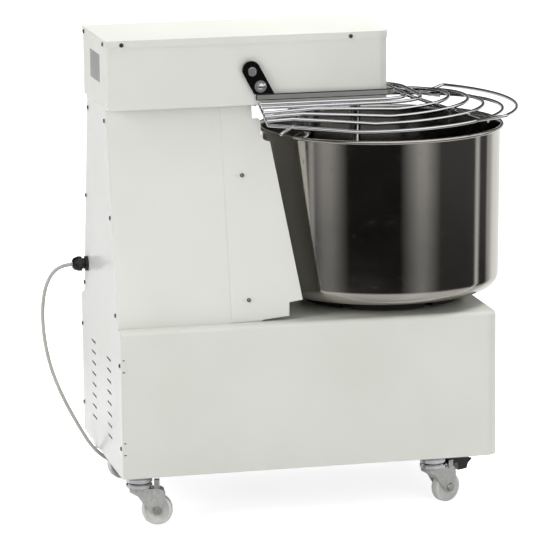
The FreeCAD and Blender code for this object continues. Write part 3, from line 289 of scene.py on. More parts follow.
@dataclass(frozen=True)
class Moulded(TonedFinish):
    """Injection-moulded plastic: nylon, ABS or soft PVC, with a spark-eroded grain."""

    grain_mm: float = 0.8
    glow: float = 0.0

    def dress(self, tree: Tree, place: Socket, surface: Node) -> None:
        """Fine grain, slight tone drift, and for thin light plastics some light in the wall."""
        surface.inputs["IOR"].default_value = 1.5
        if self.glow:
            surface.inputs["Subsurface Weight"].default_value = self.glow
            surface.inputs["Subsurface Radius"].default_value = (0.6, 0.6, 0.55)
            surface.inputs["Subsurface Scale"].default_value = 4 * MM
        grain = noise(tree, place, self.grain_mm, detail=2.0)
        drift = noise(tree, place, size_mm=18.0, detail=4.0)
        self.tone(tree, mapped(tree, drift, (0.4, 0.72)), surface)
        self.relief(tree, grain, 0.03, 0.5, surface)


@dataclass(frozen=True)
class CastPaint(TonedFinish):
    """Machine enamel over a sand casting or a mild steel weldment."""

    def dress(self, tree: Tree, place: Socket, surface: Node) -> None:
        """Soft lumps of the sand mould under a brushed coat."""
        lumps = noise(tree, place, size_mm=3.0, detail=4.0)
        self.tone(tree, noise(tree, place, size_mm=60.0, detail=4.0), surface)
        self.relief(tree, lumps, 0.12, 0.6, surface)


class Coat(Enum):
    """Every finish on the machine: name, colour, roughness, then what its kind adds."""

    CASING = PowderCoat("powder_coat_warm_white", "#DADBD4", 0.36, "#D6D7D0")
    # painted shade: a darker copy of the casing paint for the base, which is painted the same
    BASE_PAINTED_SHADE = PowderCoat("powder_coat_base_painted_shade", "#D6D7D0", 0.38, "#D1D2CA")
    # painted light: a lighter copy of the casing paint for the brightly lit rear cover, whose
    # higher gloss is real
    REAR_GLOSS_AND_PAINTED_LIGHT = PowderCoat("powder_coat_rear_gloss_painted_light", "#DEDEDC", 0.16, "#DADAD7")
    BOWL = BrushedStainless("brushed_stainless_bowl", "#C6C2BC", 0.105)
    # painted shade: a dark copy of the bowl's steel for the faces inside the bowl
    BOWL_INSIDE_PAINTED_SHADE = BrushedStainless("brushed_stainless_interior_painted_shade", "#5A5854", 0.12)
    TOOL = BrightMetal("polished_stainless", "#C9C7C3", 0.14, 0.08)
    CHROME = BrightMetal("bright_chrome", "#E4E4E6", 0.045, 0.03)
    RAIL = BrightMetal("ground_stainless_strip", "#D8D8D6", 0.3, 0.05)
    # painted dark reflection: chrome given a near-black colour for the dark surroundings it
    # mirrors; on the rail's edges it paints dark lines of reflection and shade
    PAINTED_DARK_REFLECTION = BrightMetal("chrome_painted_dark_reflection", "#2A2A2B", 0.09, 0.03)
    # painted shade: near-black colour for the steel turntable, which sits in shade under the bowl
    TURNTABLE_PAINTED_SHADE = BrightMetal("turned_steel_painted_shade", "#35332F", 0.4, 0.05)
    SCREW = BrightMetal("panel_screw_steel", "#7C7A76", 0.12, 0.05, cloud_mm=6.0)
    NICKEL = BrightMetal("nickel_screws", "#C4C2BC", 0.16, 0.06, cloud_mm=6.0)
    GROUND = BrightMetal("ground_steel", "#BDBDBB", 0.2, 0.08, cloud_mm=12.0)
    PLATE = BrightMetal("satin_aluminium", "#C6C8C8", 0.34, 0.08)
    ZINC = ZincPlate("zinc_plate", "#C4C4C1", 0.42, "#B0B1AF", 0.4)
    CHAIN = ZincPlate("oiled_chain_steel", "#5B5A57", 0.35, "#35332F", 0.9)
    FRAME = CastPaint("frame_enamel", "#4A4E52", 0.45, "#3A3E42")
    MOTOR = CastPaint("motor_enamel", "#5E666B", 0.4, "#4C5459")
    NYLON = Moulded("natural_nylon", "#D6D6D2", 0.42, "#CACAC5", glow=0.3)
    BLACK = Moulded("black_polyamide", "#141414", 0.33, "#1C1C1C")
    CORD = Moulded("grey_pvc", "#B3B3AE", 0.42, "#A8A8A3", grain_mm=1.2)
    GREEN = Moulded("green_button_abs", "#1F8A3B", 0.25, "#1A7A33")
    RED = Moulded("red_button_abs", "#B8201C", 0.25, "#A21A17")


@dataclass
class PaintShop:
    """Builds each finish once and puts it on pieces."""

    made: dict[Coat, bpy.types.Material] = field(default_factory=dict)

    def material(self, coat: Coat) -> bpy.types.Material:
        """The material of a finish, made on first use."""
        if coat not in self.made:
            self.made[coat] = coat.value.build()
        return self.made[coat]

    def dress(self, piece: Piece, *coats: Coat) -> None:
        """Give a piece these finishes in its material slots."""
        piece.data.materials.clear()
        for coat in coats:
            piece.data.materials.append(self.material(coat))


def second_coat(piece: Piece, chosen: Callable[[bpy.types.MeshPolygon], bool]) -> None:
    """Give the chosen faces of a piece its second finish."""
    for face in piece.data.polygons:
        if chosen(face):
            face.material_index = 1


# ---------------- helpers for meshes


def new_piece(name: str, mesh: Mesh, smooth_degrees: float = 35.0) -> Piece:
    """Turn a bmesh into an object at the origin.

    Args:
        name: Name of the piece.
        mesh: Its finished bmesh, which is freed.
        smooth_degrees: Edges that are sharper than this stay sharp.

    Returns:
        The linked object.
    """
    data = bpy.data.meshes.new(name)
    mesh.to_mesh(data)
    mesh.free()
    data.shade_smooth()
    data.set_sharp_from_angle(angle=math.radians(smooth_degrees))
    piece = bpy.data.objects.new(name, data)
    bpy.context.scene.collection.objects.link(piece)
    return piece


def lathe(profile: list[Pair], segments: int, place: Matrix) -> Mesh:
    """Spin a closed or axis-ended outline about its Z axis.

    Args:
        profile: Corners as (radius, height) in metres.
        segments: Steps of a full turn.
        place: Where the turned piece goes.

    Returns:
        A closed mesh with its normals outwards.
    """
    mesh = bmesh.new()
    verts = [mesh.verts.new((radius, 0.0, height)) for radius, height in profile]
    closed = profile[0][0] > SAME_SPOT
    pairs = zip(verts, verts[1:] + verts[:1]) if closed else zip(verts, verts[1:])
    edges = [mesh.edges.new(pair) for pair in pairs]
    bmesh.ops.spin(mesh, geom=verts + edges, cent=(0, 0, 0), axis=(0, 0, 1), dvec=(0, 0, 0),
                   angle=2 * math.pi, steps=segments, use_merge=True, use_duplicate=False)
    bmesh.ops.remove_doubles(mesh, verts=mesh.verts, dist=SAME_SPOT)
    bmesh.ops.recalc_face_normals(mesh, faces=mesh.faces)
    bmesh.ops.transform(mesh, matrix=place, verts=mesh.verts)
    return mesh


def round_corners(points: list[Vector], radius: float, steps: int = 8) -> list[Vector]:
    """Replace each inner corner of a bent wire by an arc.

    Args:
        points: Corners of the wire.
        radius: Bend radius of the inner corners.
        steps: Divisions of each arc.

    Returns:
        The points of the bent wire.
    """
    path = [points[0]]
    for before, corner, after in zip(points, points[1:], points[2:]):
        come = (corner - before).normalized()
        leave = (after - corner).normalized()
        half = come.angle(leave) / 2
        if half < STRAIGHT:
            path.append(corner)
            continue
        enter = corner - come * (radius * math.tan(half))
        inward = (leave - come).normalized()
        centre = corner + inward * (radius / math.cos(half))
        axis = come.cross(leave).normalized()
        spoke = enter - centre
        for step in range(steps + 1):
            path.append(centre + Quaternion(axis, 2 * half * step / steps) @ spoke)
    path.append(points[-1])
    return path


def tube(mesh: Mesh, path: list[Vector], radius: float, sides: int = 14) -> None:
    """Draw a round wire along a path, with domed ends.

    Args:
        mesh: The bmesh that gets the wire.
        path: Its centre line.
        radius: Its radius.
        sides: Corners of its section.
    """
    ways = [(after - before).normalized() for before, after in zip(path, path[1:])]
    bisectors = [(a + b).normalized() for a, b in zip(ways, ways[1:])]
    dome = [math.radians(angle) for angle in (18, 42, 66)]
    stations = [(path[0] - ways[0] * radius * math.cos(a), ways[0], radius * math.sin(a))
                for a in dome]
    stations += [(spot, heading, radius)
                 for spot, heading in zip(path, [ways[0], *bisectors, ways[-1]])]
    stations += [(path[-1] + ways[-1] * radius * math.cos(a), ways[-1], radius * math.sin(a))
                 for a in reversed(dome)]
    turn = UP.rotation_difference(ways[0])
    before = ways[0]
    rings: list[list[bmesh.types.BMEdge]] = []
    for spot, heading, size in stations:
        turn = before.rotation_difference(heading) @ turn
        before = heading
        place = Matrix.Translation(spot) @ turn.to_matrix().to_4x4()
        made = bmesh.ops.create_circle(mesh, segments=sides, radius=size, matrix=place)
        rings.append(list({edge for vert in made["verts"] for edge in vert.link_edges}))
    bmesh.ops.contextual_create(mesh, geom=rings[0])
    bmesh.ops.contextual_create(mesh, geom=rings[-1])
    for low, high in zip(rings, rings[1:]):
        bmesh.ops.bridge_loops(mesh, edges=low + high)


# ---------------- what the sub-assemblies share


@dataclass
class Workshop:
    """What every sub-assembly needs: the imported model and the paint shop."""

    frame: dict
    paint: PaintShop

    def body_of(self, node: str) -> str:
        """Name of the body that a node rides on."""
        bodies = self.frame["record"]["behaviour"]["bodies"]
        return next(body for body, nodes in bodies.items() if node in nodes)

    def stand_in(self, obj: Piece, *nodes: str) -> Piece:
        """Let a new piece replace nodes: it rides on their body, and they are hidden."""
        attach(obj, self.body_of(nodes[0]))
        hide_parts(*nodes)
        LOG.info("%s stands for %s", obj.name, ", ".join(nodes))
        return obj

    def refined(self, node: str, edge_mm: float = 0.0, smooth_degrees: float = 32.0,
                segments: int = 2, edge_slot: int = -1) -> Piece:
        """Copy a node with shared vertices, whole faces, smooth curves and softened edges.

        Args:
            node: The CAD node to stand for.
            edge_mm: Radius of its broken edges, or zero for none.
            smooth_degrees: Edges that are sharper than this count as edges.
            segments: Divisions of each broken edge.
            edge_slot: Material slot of the broken edges, or -1 for the one beside them.

        Returns:
            The piece that replaces the node.
        """
        mesh = bmesh.new()
        mesh.from_mesh(self.frame["nodes"][node].data)
        bmesh.ops.remove_doubles(mesh, verts=mesh.verts, dist=CAD_SEAM)
        bmesh.ops.dissolve_degenerate(mesh, edges=mesh.edges, dist=SAME_SPOT)
        bmesh.ops.dissolve_limit(mesh, angle_limit=FLAT, verts=mesh.verts, edges=mesh.edges)
        obj = new_piece(f"{node}_skin", mesh, smooth_degrees)
        if edge_mm:
            bevel = obj.modifiers.new("broken_edges", "BEVEL")
            bevel.width = edge_mm * MM
            bevel.segments = segments
            bevel.material = edge_slot
            bevel.limit_method = "ANGLE"
            bevel.angle_limit = math.radians(smooth_degrees)
            bevel.use_clamp_overlap = True
            bevel.harden_normals = True
        return self.stand_in(obj, node)

    def finish(self, node: str, *coats: Coat, **how: float) -> Piece:
        """Refine a node in the stated way and put its finishes on."""
        piece = self.refined(node, **how)
        self.paint.dress(piece, *coats)
        return piece


# ---------------- camera, light and floor


@dataclass(frozen=True)
class SoftBox:
    """One square lamp: where it hangs, what it lights, its width and its power."""

    name: str
    spot: Spot
    aim: Spot
    size: float
    watts: float

    def hang(self) -> None:
        """Hang the lamp, hidden from polished metal."""
        data = bpy.data.lights.new(self.name, "AREA")
        data.shape = "SQUARE"
        data.size = self.size
        data.energy = self.watts
        lamp = bpy.data.objects.new(self.name, data)
        lamp.location = self.spot
        way = Vector(self.aim) - Vector(self.spot)
        lamp.rotation_euler = way.to_track_quat("-Z", "Y").to_euler()
        lamp.visible_glossy = False
        bpy.context.scene.collection.objects.link(lamp)


@dataclass(frozen=True)
class Strip:
    """Upright light that polished metal mirrors, in degrees from +X towards +Y.

    No strip reaches across 180 degrees.
    """

    middle: float
    half_width: float
    fade: float
    level: float


@dataclass
class Studio:
    """Camera, lamps, surroundings and floor."""

    azimuth: float = math.radians(-102.916)
    elevation: float = math.radians(11.264)
    roll: float = math.radians(-0.608)
    eye: Spot = (-5.7158, 1.36595, 1.5470)
    focal_pixels: float = 3511.19
    picture_width: float = 550.0
    sensor_mm: float = 36.0

    # what polished metal sees all round, between black flags
    strips: tuple[Strip, ...] = (
        Strip(-34, 20, 18, 0.95),  # backdrop
        Strip(20, 38, 26, 0.67),  # wall on the rear side
        Strip(95, 0.5, 4.5, 0.3),  # narrow lamp
        Strip(112, 4, 18, 0.18),  # soft box on the rear side
        Strip(-154, 3, 19, 0.2),  # soft box on the operator's side
        Strip(-103, 33, 5, 0.03),  # grey wall
        Strip(-87, 0.5, 4, 0.7))  # narrow lamp
    flags: float = 0.006
    warmth: Spot = (1.0, 1.0, 0.985)
    # the strips gain brightness between these two downward slopes, but not past the cap
    slopes: Pair = (-0.222, -0.2047)
    gains: Pair = (1.0, 2.2)
    cap: float = 0.45
    # a soft box hangs over the viewer's and the operator's side, in an otherwise dark ceiling
    box_way: Spot = (-0.85, -0.53, 0.0)
    box_edge: Pair = (0.0, 0.3)
    box_levels: Pair = (0.06, 1.1)
    ceiling_slopes: Pair = (0.02, 0.14)
    even_light: float = 0.475

    paper_colour: tuple[float, float, float, float] = (0.9, 0.9, 0.9, 1.0)
    paper_half_width: float = 30.0
    paper_glow: float = 0.80
    # polished metal sees the paper within the first distance and only in part past the second
    paper_reach: Pair = (0.9, 1.35)
    paper_loss: Pair = (0.55, 1.0)

    boxes: tuple[SoftBox, ...] = (
        SoftBox("rear_box", (-1.2, 3.4, 2.0), (0.0, 0.2, 0.45), 1.8, 62),
        SoftBox("side_box", (-3.9, -0.9, 1.3), (0.0, 0.0, 0.4), 2.2, 26),
        SoftBox("top_box", (0.6, -0.8, 3.4), (0.0, 0.0, 0.5), 2.4, 122))

    def camera(self) -> None:
        """Place the camera on its line of sight."""
        away = Vector((math.sin(self.azimuth) * math.cos(self.elevation),
                       -math.cos(self.azimuth) * math.cos(self.elevation),
                       math.sin(self.elevation)))
        right = (-away).cross(UP).normalized()
        upright = right.cross(-away).normalized()
        tilted_right = right * math.cos(self.roll) + upright * math.sin(self.roll)
        tilted_up = upright * math.cos(self.roll) - right * math.sin(self.roll)
        place = Matrix((tilted_right, tilted_up, away)).transposed().to_4x4()
        place.translation = Vector(self.eye)
        data = bpy.data.cameras.new("view")
        data.sensor_width = self.sensor_mm
        data.lens = self.sensor_mm * self.focal_pixels / self.picture_width
        data.clip_start = 0.1
        data.clip_end = 60.0
        camera = bpy.data.objects.new("view", data)
        camera.matrix_world = place
        bpy.context.scene.collection.objects.link(camera)
        bpy.context.scene.camera = camera

    def horizon(self, tree: Tree, way: Node) -> Socket:
        """Strips and black flags that stand round the machine, as polished metal sees them."""
        compass = reckon(tree, "ARCTAN2", way.outputs["Y"], way.outputs["X"])
        levels = []
        for strip in self.strips:
            off = add(tree, "ShaderNodeMath",
                      {"operation": "SUBTRACT", 1: math.radians(strip.middle)}, {0: compass})
            away = add(tree, "ShaderNodeMath", {"operation": "ABSOLUTE"}, {0: off.outputs[0]})
            edge = (math.radians(strip.half_width), math.radians(strip.half_width + strip.fade))
            levels.append(mapped(tree, away.outputs[0], edge, (strip.level, self.flags)))
        brightest = reduce(lambda one, other: reckon(tree, "MAXIMUM", one, other), levels)
        gain = mapped(tree, way.outputs["Z"], self.slopes, self.gains)
        raised = reckon(tree, "MULTIPLY", brightest, gain)
        limit = add(tree, "ShaderNodeMath", {"operation": "MAXIMUM", 1: self.cap}, {0: brightest})
        graded = reckon(tree, "MINIMUM", raised, limit.outputs[0])
        return add(tree, "ShaderNodeVectorMath", {"operation": "SCALE", 0: self.warmth},
                   {"Scale": graded}).outputs[0]

    def surroundings(self) -> None:
        """Even white light, a white backdrop, and lamps and flags for metal to mirror."""
        world = bpy.data.worlds.new("studio")
        bpy.context.scene.world = world
        world.use_nodes = True
        tree = world.node_tree
        tree.nodes.clear()
        way = add(tree, "ShaderNodeTexCoord").outputs["Generated"]
        split = add(tree, "ShaderNodeSeparateXYZ", links={0: way})
        horizon = self.horizon(tree, split)
        nearness = add(tree, "ShaderNodeVectorMath",
                       {"operation": "DOT_PRODUCT", 1: self.box_way}, {0: way})
        box = mapped(tree, nearness.outputs["Value"], self.box_edge, self.box_levels)
        overhead = mapped(tree, split.outputs["Z"], self.ceiling_slopes)
        ceiling = add(tree, "ShaderNodeMix", {"data_type": "RGBA"},
                      {"Factor": overhead, 6: horizon, 7: box})
        rays = add(tree, "ShaderNodeLightPath")
        mirrored = add(tree, "ShaderNodeBackground", {"Strength": 1.0},
                       {"Color": ceiling.outputs[2]})
        even = add(tree, "ShaderNodeBackground", {"Color": WHITE, "Strength": self.even_light})
        white = add(tree, "ShaderNodeBackground", {"Color": WHITE, "Strength": 1.0})
        lit = either(tree, rays.outputs["Is Glossy Ray"], even.outputs[0], mirrored.outputs[0])
        seen = either(tree, rays.outputs["Is Camera Ray"], lit, white.outputs[0])
        add(tree, "ShaderNodeOutputWorld", links={"Surface": seen})

    def floor(self) -> None:
        """White paper floor that keeps the machine's soft shadow."""
        mesh = bmesh.new()
        bmesh.ops.create_grid(mesh, x_segments=1, y_segments=1, size=self.paper_half_width)
        obj = new_piece("floor", mesh)
        material = bpy.data.materials.new("white_paper")
        material.use_nodes = True
        tree = material.node_tree
        tree.nodes.clear()
        paper = add(tree, "ShaderNodeBsdfDiffuse", {"Color": self.paper_colour})
        rays = add(tree, "ShaderNodeLightPath")
        glow = add(tree, "ShaderNodeEmission", {"Color": WHITE, "Strength": self.paper_glow})
        none = add(tree, "ShaderNodeEmission", {"Color": WHITE, "Strength": 0.0})
        lift = either(tree, rays.outputs["Is Camera Ray"], none.outputs[0], glow.outputs[0])
        both = add(tree, "ShaderNodeAddShader", links={0: paper.outputs[0], 1: lift})
        place = add(tree, "ShaderNodeTexCoord").outputs["Object"]
        reach = add(tree, "ShaderNodeVectorMath", {"operation": "LENGTH"}, {0: place})
        past = mapped(tree, reach.outputs["Value"], self.paper_reach, self.paper_loss)
        gone = reckon(tree, "MULTIPLY", past, rays.outputs["Is Glossy Ray"])
        clear = add(tree, "ShaderNodeBsdfTransparent")
        seen = either(tree, gone, both.outputs[0], clear.outputs[0])
        add(tree, "ShaderNodeOutputMaterial", links={"Surface": seen})
        obj.data.materials.append(material)

    def build(self) -> None:
        """Set up everything around the machine."""
        self.camera()
        self.surroundings()
        self.floor()
        for box in self.boxes:
            box.hang()
        bpy.context.scene.view_settings.view_transform = "Standard"
        LOG.info("studio is set")


# ---------------- casing and drive


@dataclass
class Casing:
    """White sheet-metal casing of base, column and head, with its screws and plate."""

    shop: Workshop

    def build(self) -> None:
        """Refine and paint each panel."""
        # painted shade and light: the base shell and the rear cover get darker and lighter copies
        # of the casing paint
        panels = {"base_shell": Coat.BASE_PAINTED_SHADE, "rear_cover": Coat.REAR_GLOSS_AND_PAINTED_LIGHT,
                  "column_side_left": Coat.CASING, "column_side_right": Coat.CASING,
                  "column_front_cover": Coat.CASING, "head_shell": Coat.CASING,
                  "head_lid": Coat.CASING}
        for node, coat in panels.items():
            self.shop.finish(node, coat, edge_mm=0.45, smooth_degrees=28.0)
        self.shop.finish("panel_screws", Coat.SCREW, smooth_degrees=40.0)
        self.shop.finish("rating_plate", Coat.PLATE, edge_mm=0.15)


@dataclass
class Drive:
    """Frames, motor, reducer, shafts, bearings, sprockets and chains inside the casing."""

    shop: Workshop

    def build(self) -> None:
        """Give every hidden piece its real finish."""
        coats = {Coat.FRAME: ("base_frame", "column_frame", "head_frame"),
                 Coat.MOTOR: ("motor", "gear_reducer"),
                 Coat.GROUND: ("drive_bearings", "bowl_bearings", "spiral_bearings",
                               "drive_shaft", "bowl_shaft"),
                 Coat.CHAIN: ("bowl_chain", "spiral_chain", "bowl_pinion", "spiral_pinion",
                              "bowl_sprocket", "spiral_sprocket"),
                 Coat.ZINC: ("bar_nut",),
                 Coat.BLACK: ("guard_switch",)}
        for coat, nodes in coats.items():
            for node in nodes:
                self.shop.paint.dress(self.shop.frame["nodes"][node], coat)


# ---------------- bowl and tools


@dataclass
class Bowl:
    """Spun stainless bowl with a rolled rim, on its turntable."""

    shop: Workshop
    setback: float = 490.0 * MM
    foot: float = 353.0 * MM
    rim: float = 634.3 * MM
    bore: float = 202.3 * MM
    wall: float = 1.5 * MM
    draft: float = 4.0 * MM
    bend: float = 25.0 * MM
    bead: float = 3.3 * MM
    bead_overlap: float = 0.8 * MM

    def outline(self) -> list[Pair]:
        """Section of the bowl from the middle of its foot over the rim and back inside."""
        outer = self.bore + self.wall
        low = outer - self.draft
        height = self.rim - self.foot - self.bead
        bend_steps, bead_steps = 14, 22
        arc = [math.radians(90 * k / bend_steps) for k in range(bend_steps + 1)]
        points = [(0.0, 0.0)]
        points += [(low - self.bend + self.bend * math.sin(a) + self.draft * 0.1 * math.sin(a),
                    self.bend - self.bend * math.cos(a)) for a in arc]
        middle = outer + self.bead - self.bead_overlap
        start, sweep = math.radians(200), math.radians(290)
        curl = [start + sweep * k / bead_steps for k in range(bead_steps + 1)]
        points += [(middle + self.bead * math.cos(a), height + self.bead * math.sin(a))
                   for a in curl]
        points.append((outer - self.wall, height - self.bead))
        inner = self.bend - self.wall
        points += [(low - self.wall - inner + inner * math.sin(a),
                    self.wall + inner - inner * math.cos(a)) for a in reversed(arc)]
        points.append((0.0, self.wall))
        return points

    def build(self) -> None:
        """Spin the bowl, and finish the turntable under it."""
        place = Matrix.Translation((0.0, REAR_FACE - self.setback, self.foot))
        bowl = new_piece("bowl_spun", lathe(self.outline(), 192, place), 50.0)
        self.shop.stand_in(bowl, "bowl")
        self.shop.paint.dress(bowl, Coat.BOWL, Coat.BOWL_INSIDE_PAINTED_SHADE)
        axis = Vector((0.0, REAR_FACE - self.setback))
        below_bead = self.rim - 3 * self.bead

        # faces inside the bowl take the second, dark copy of the steel: painted shade
        def inside(face: bpy.types.MeshPolygon) -> bool:
            """Whether a face below the rim looks towards the axis or upwards."""
            way_out = (face.center.xy - axis).dot(face.normal.xy)
            return face.center.z < below_bead and (way_out < -1 * MM or face.normal.z > 0.5)

        second_coat(bowl, inside)
        # the turntable's near-black steel is painted shade
        self.shop.finish("bowl_turntable", Coat.TURNTABLE_PAINTED_SHADE, edge_mm=0.6)


@dataclass
class Tools:
    """Spiral hook on its shaft, and the fixed breaker bar."""

    shop: Workshop

    def build(self) -> None:
        """Polish the tools."""
        for node in ("spiral_hook", "spiral_shaft", "breaker_bar"):
            self.shop.finish(node, Coat.TOOL, smooth_degrees=40.0)


# ---------------- guard


@dataclass(frozen=True)
class Ring:
    """One long ring of the guard: its arc, rise, corner and start on the end bar."""

    radius: float
    centre: float
    level: float
    rise: float
    corner: Pair
    share: float | None


@dataclass(frozen=True)
class Hoop:
    """One ring close to the head: how far it reaches, its height and its corners' radius."""

    front: float
    level: float
    corner: float


@dataclass
class Guard:
    """Hinged wire guard: chromed rings, spokes, lip, rail and brackets.

    Sizes are millimetres, and spots are side, distance from the rear face and height.
    """

    shop: Workshop
    wire: float = 3.0
    side: float = 118.3
    rings: tuple[Ring, ...] = (
        Ring(204, 493.4, 651.2, 0.033, (268, 655.6), None),
        Ring(171, 493.4, 659.3, 0.039, (309, 664.5), 0.80),
        Ring(145, 493.4, 667.1, 0.053, (325, 672.5), 0.59),
        Ring(117.2, 488.2, 673.4, 0.051, (347, 680.5), 0.42))
    ring_bend: float = 30.0
    hoops: tuple[Hoop, ...] = (Hoop(545, 685.5, 70), Hoop(512, 691.6, 45))
    bar_top: Pair = (252.8, 691.6)
    bar_foot: Pair = (268.0, 655.6)
    bar_welds: tuple[float, ...] = (0.0, 0.18, 0.42, 0.59, 0.80)
    spoke: tuple[Spot, Spot] = ((36.3, 513.2, 688.9), (150.5, 635.2, 651.2))
    stop_rod: tuple[Spot, Spot] = ((124, 312, 655), (180, 275, 650))
    lip_radius: float = 318.0
    lip_end: Spot = (191.0, 653.4, 665.0)
    lip_bend: float = 7.0
    lip_weld: Spot = (167, 610, 655.5)
    welds: tuple[Spot, ...] = ((134, 301, 652.5), (149, 633.5, 653))
    weld_radius: float = 3.5

    def point(self, x: float, setback: float, z: float) -> Vector:
        """Row-frame point in metres."""
        return Vector((x * MM, REAR_FACE - setback * MM, z * MM))

    def on_side(self, side: int, spot: Spot) -> Vector:
        """Point of a spot on the left side (-1) or the right side (1)."""
        return self.point(side * spot[0], spot[1], spot[2])

    def bar_at(self, share: float) -> Pair:
        """Setback and height at a share of the end bar's length."""
        return tuple(a + (b - a) * share for a, b in zip(self.bar_top, self.bar_foot))

    def ring_path(self, ring: Ring, steps: int = 34) -> list[Vector]:
        """Centre line of a ring, from one end bar round the bowl to the other."""
        off_x, off_y = self.side, ring.centre - ring.corner[0]
        angle = math.atan2(off_y, off_x) - math.acos(ring.radius / math.hypot(off_x, off_y))
        half = []
        if ring.share is not None:
            half.append(self.point(self.side, *self.bar_at(ring.share)))
        half.append(self.point(self.side, *ring.corner))
        arc = []
        for step in range(steps + 1):
            a = angle - (angle + math.pi / 2) * step / steps
            setback = ring.centre - ring.radius * math.sin(a)
            arc.append(self.point(ring.radius * math.cos(a), setback,
                                  ring.level + ring.rise * (setback - ring.centre)))
        if len(half) == 2:
            half = round_corners([half[0], half[1], arc[0]], self.ring_bend * MM)[:-1]
        half += arc
        return half + [Vector((-p.x, p.y, p.z)) for p in reversed(half[:-1])]

    def hoop_path(self, hoop: Hoop) -> list[Vector]:
        """Centre line of a ring close to the head."""
        share = (self.bar_top[1] - hoop.level) / (self.bar_top[1] - self.bar_foot[1])
        start = self.bar_at(share)[0]
        points = [self.point(x, setback, hoop.level)
                  for x, setback in ((-self.side, start), (-self.side, hoop.front),
                                     (self.side, hoop.front), (self.side, start))]
        return round_corners(points, hoop.corner * MM, 12)

    def lip_path(self, steps: int = 40) -> list[Vector]:
        """Centre line of the front lip, with its ends bent back to the outer ring."""
        end_x, end_setback, level = self.lip_end
        half = math.asin(end_x / self.lip_radius)
        centre = end_setback - self.lip_radius * math.cos(half)
        arc = []
        for step in range(steps + 1):
            a = -half + 2 * half * step / steps
            arc.append(self.point(self.lip_radius * math.sin(a),
                                  centre + self.lip_radius * math.cos(a), level))
        left, right = self.on_side(-1, self.lip_weld), self.on_side(1, self.lip_weld)
        first = round_corners([left, arc[0], arc[3]], self.lip_bend * MM, 6)[:-1]
        last = round_corners([arc[-4], arc[-1], right], self.lip_bend * MM, 6)[1:]
        return first + arc[3:-3] + last

    def weld(self, mesh: Mesh, spot: Vector) -> None:
        """Put a small flattened weld bead where two wires meet."""
        bead = bmesh.ops.create_icosphere(mesh, subdivisions=2, radius=self.weld_radius * MM)
        flattened = Matrix.Translation(spot) @ Matrix.Diagonal((1, 1, 0.8, 1))
        bmesh.ops.transform(mesh, matrix=flattened, verts=bead["verts"])

    def grille(self) -> Piece:
        """All wires as one welded piece."""
        mesh = bmesh.new()
        paths = [self.ring_path(ring) for ring in self.rings]
        paths += [self.hoop_path(hoop) for hoop in self.hoops]
        paths.append(self.lip_path())
        for path in paths:
            tube(mesh, path, self.wire * MM)
        end_bar = ((self.side, *self.bar_top), (self.side, *self.bar_foot))
        welds = [self.lip_weld, *self.welds]
        welds += [(self.side, *self.bar_at(share)) for share in self.bar_welds]
        for side in (-1, 1):
            for rod in (end_bar, self.spoke, self.stop_rod):
                tube(mesh, [self.on_side(side, spot) for spot in rod], self.wire * MM)
            for spot in welds:
                self.weld(mesh, self.on_side(side, spot))
        return new_piece("guard_wires", mesh, 60.0)

    def build(self) -> None:
        """Make the wires and finish the flat pieces."""
        wires = self.shop.stand_in(self.grille(), "guard_grille")
        self.shop.paint.dress(wires, Coat.CHROME)
        # the rail's broken edges and the brackets' faces take the near-black chrome: painted dark
        # reflection and shade; the brackets' edges stay bright chrome
        self.shop.finish("guard_rail", Coat.RAIL, Coat.PAINTED_DARK_REFLECTION, edge_mm=1.5, edge_slot=1)
        self.shop.finish("guard_brackets", Coat.PAINTED_DARK_REFLECTION, Coat.CHROME, edge_mm=1.2, segments=3,
                         edge_slot=1)
        self.shop.finish("guard_pivot_shaft", Coat.CHROME, edge_mm=0.4)
        self.shop.finish("guard_screws", Coat.CHROME, smooth_degrees=40.0)
        self.shop.finish("guard_bushes", Coat.BLACK, edge_mm=0.3)


# ---------------- controls


@dataclass
class Controls:
    """Start and stop buttons on their plate."""

    shop: Workshop

    def build(self) -> None:
        """Finish the plate and the two caps."""
        self.shop.finish("button_plate", Coat.PLATE, edge_mm=0.4)
        self.shop.finish("start_button", Coat.GREEN, edge_mm=0.5, smooth_degrees=40.0)
        self.shop.finish("stop_button", Coat.RED, edge_mm=0.5, smooth_degrees=40.0)


# ---------------- casters


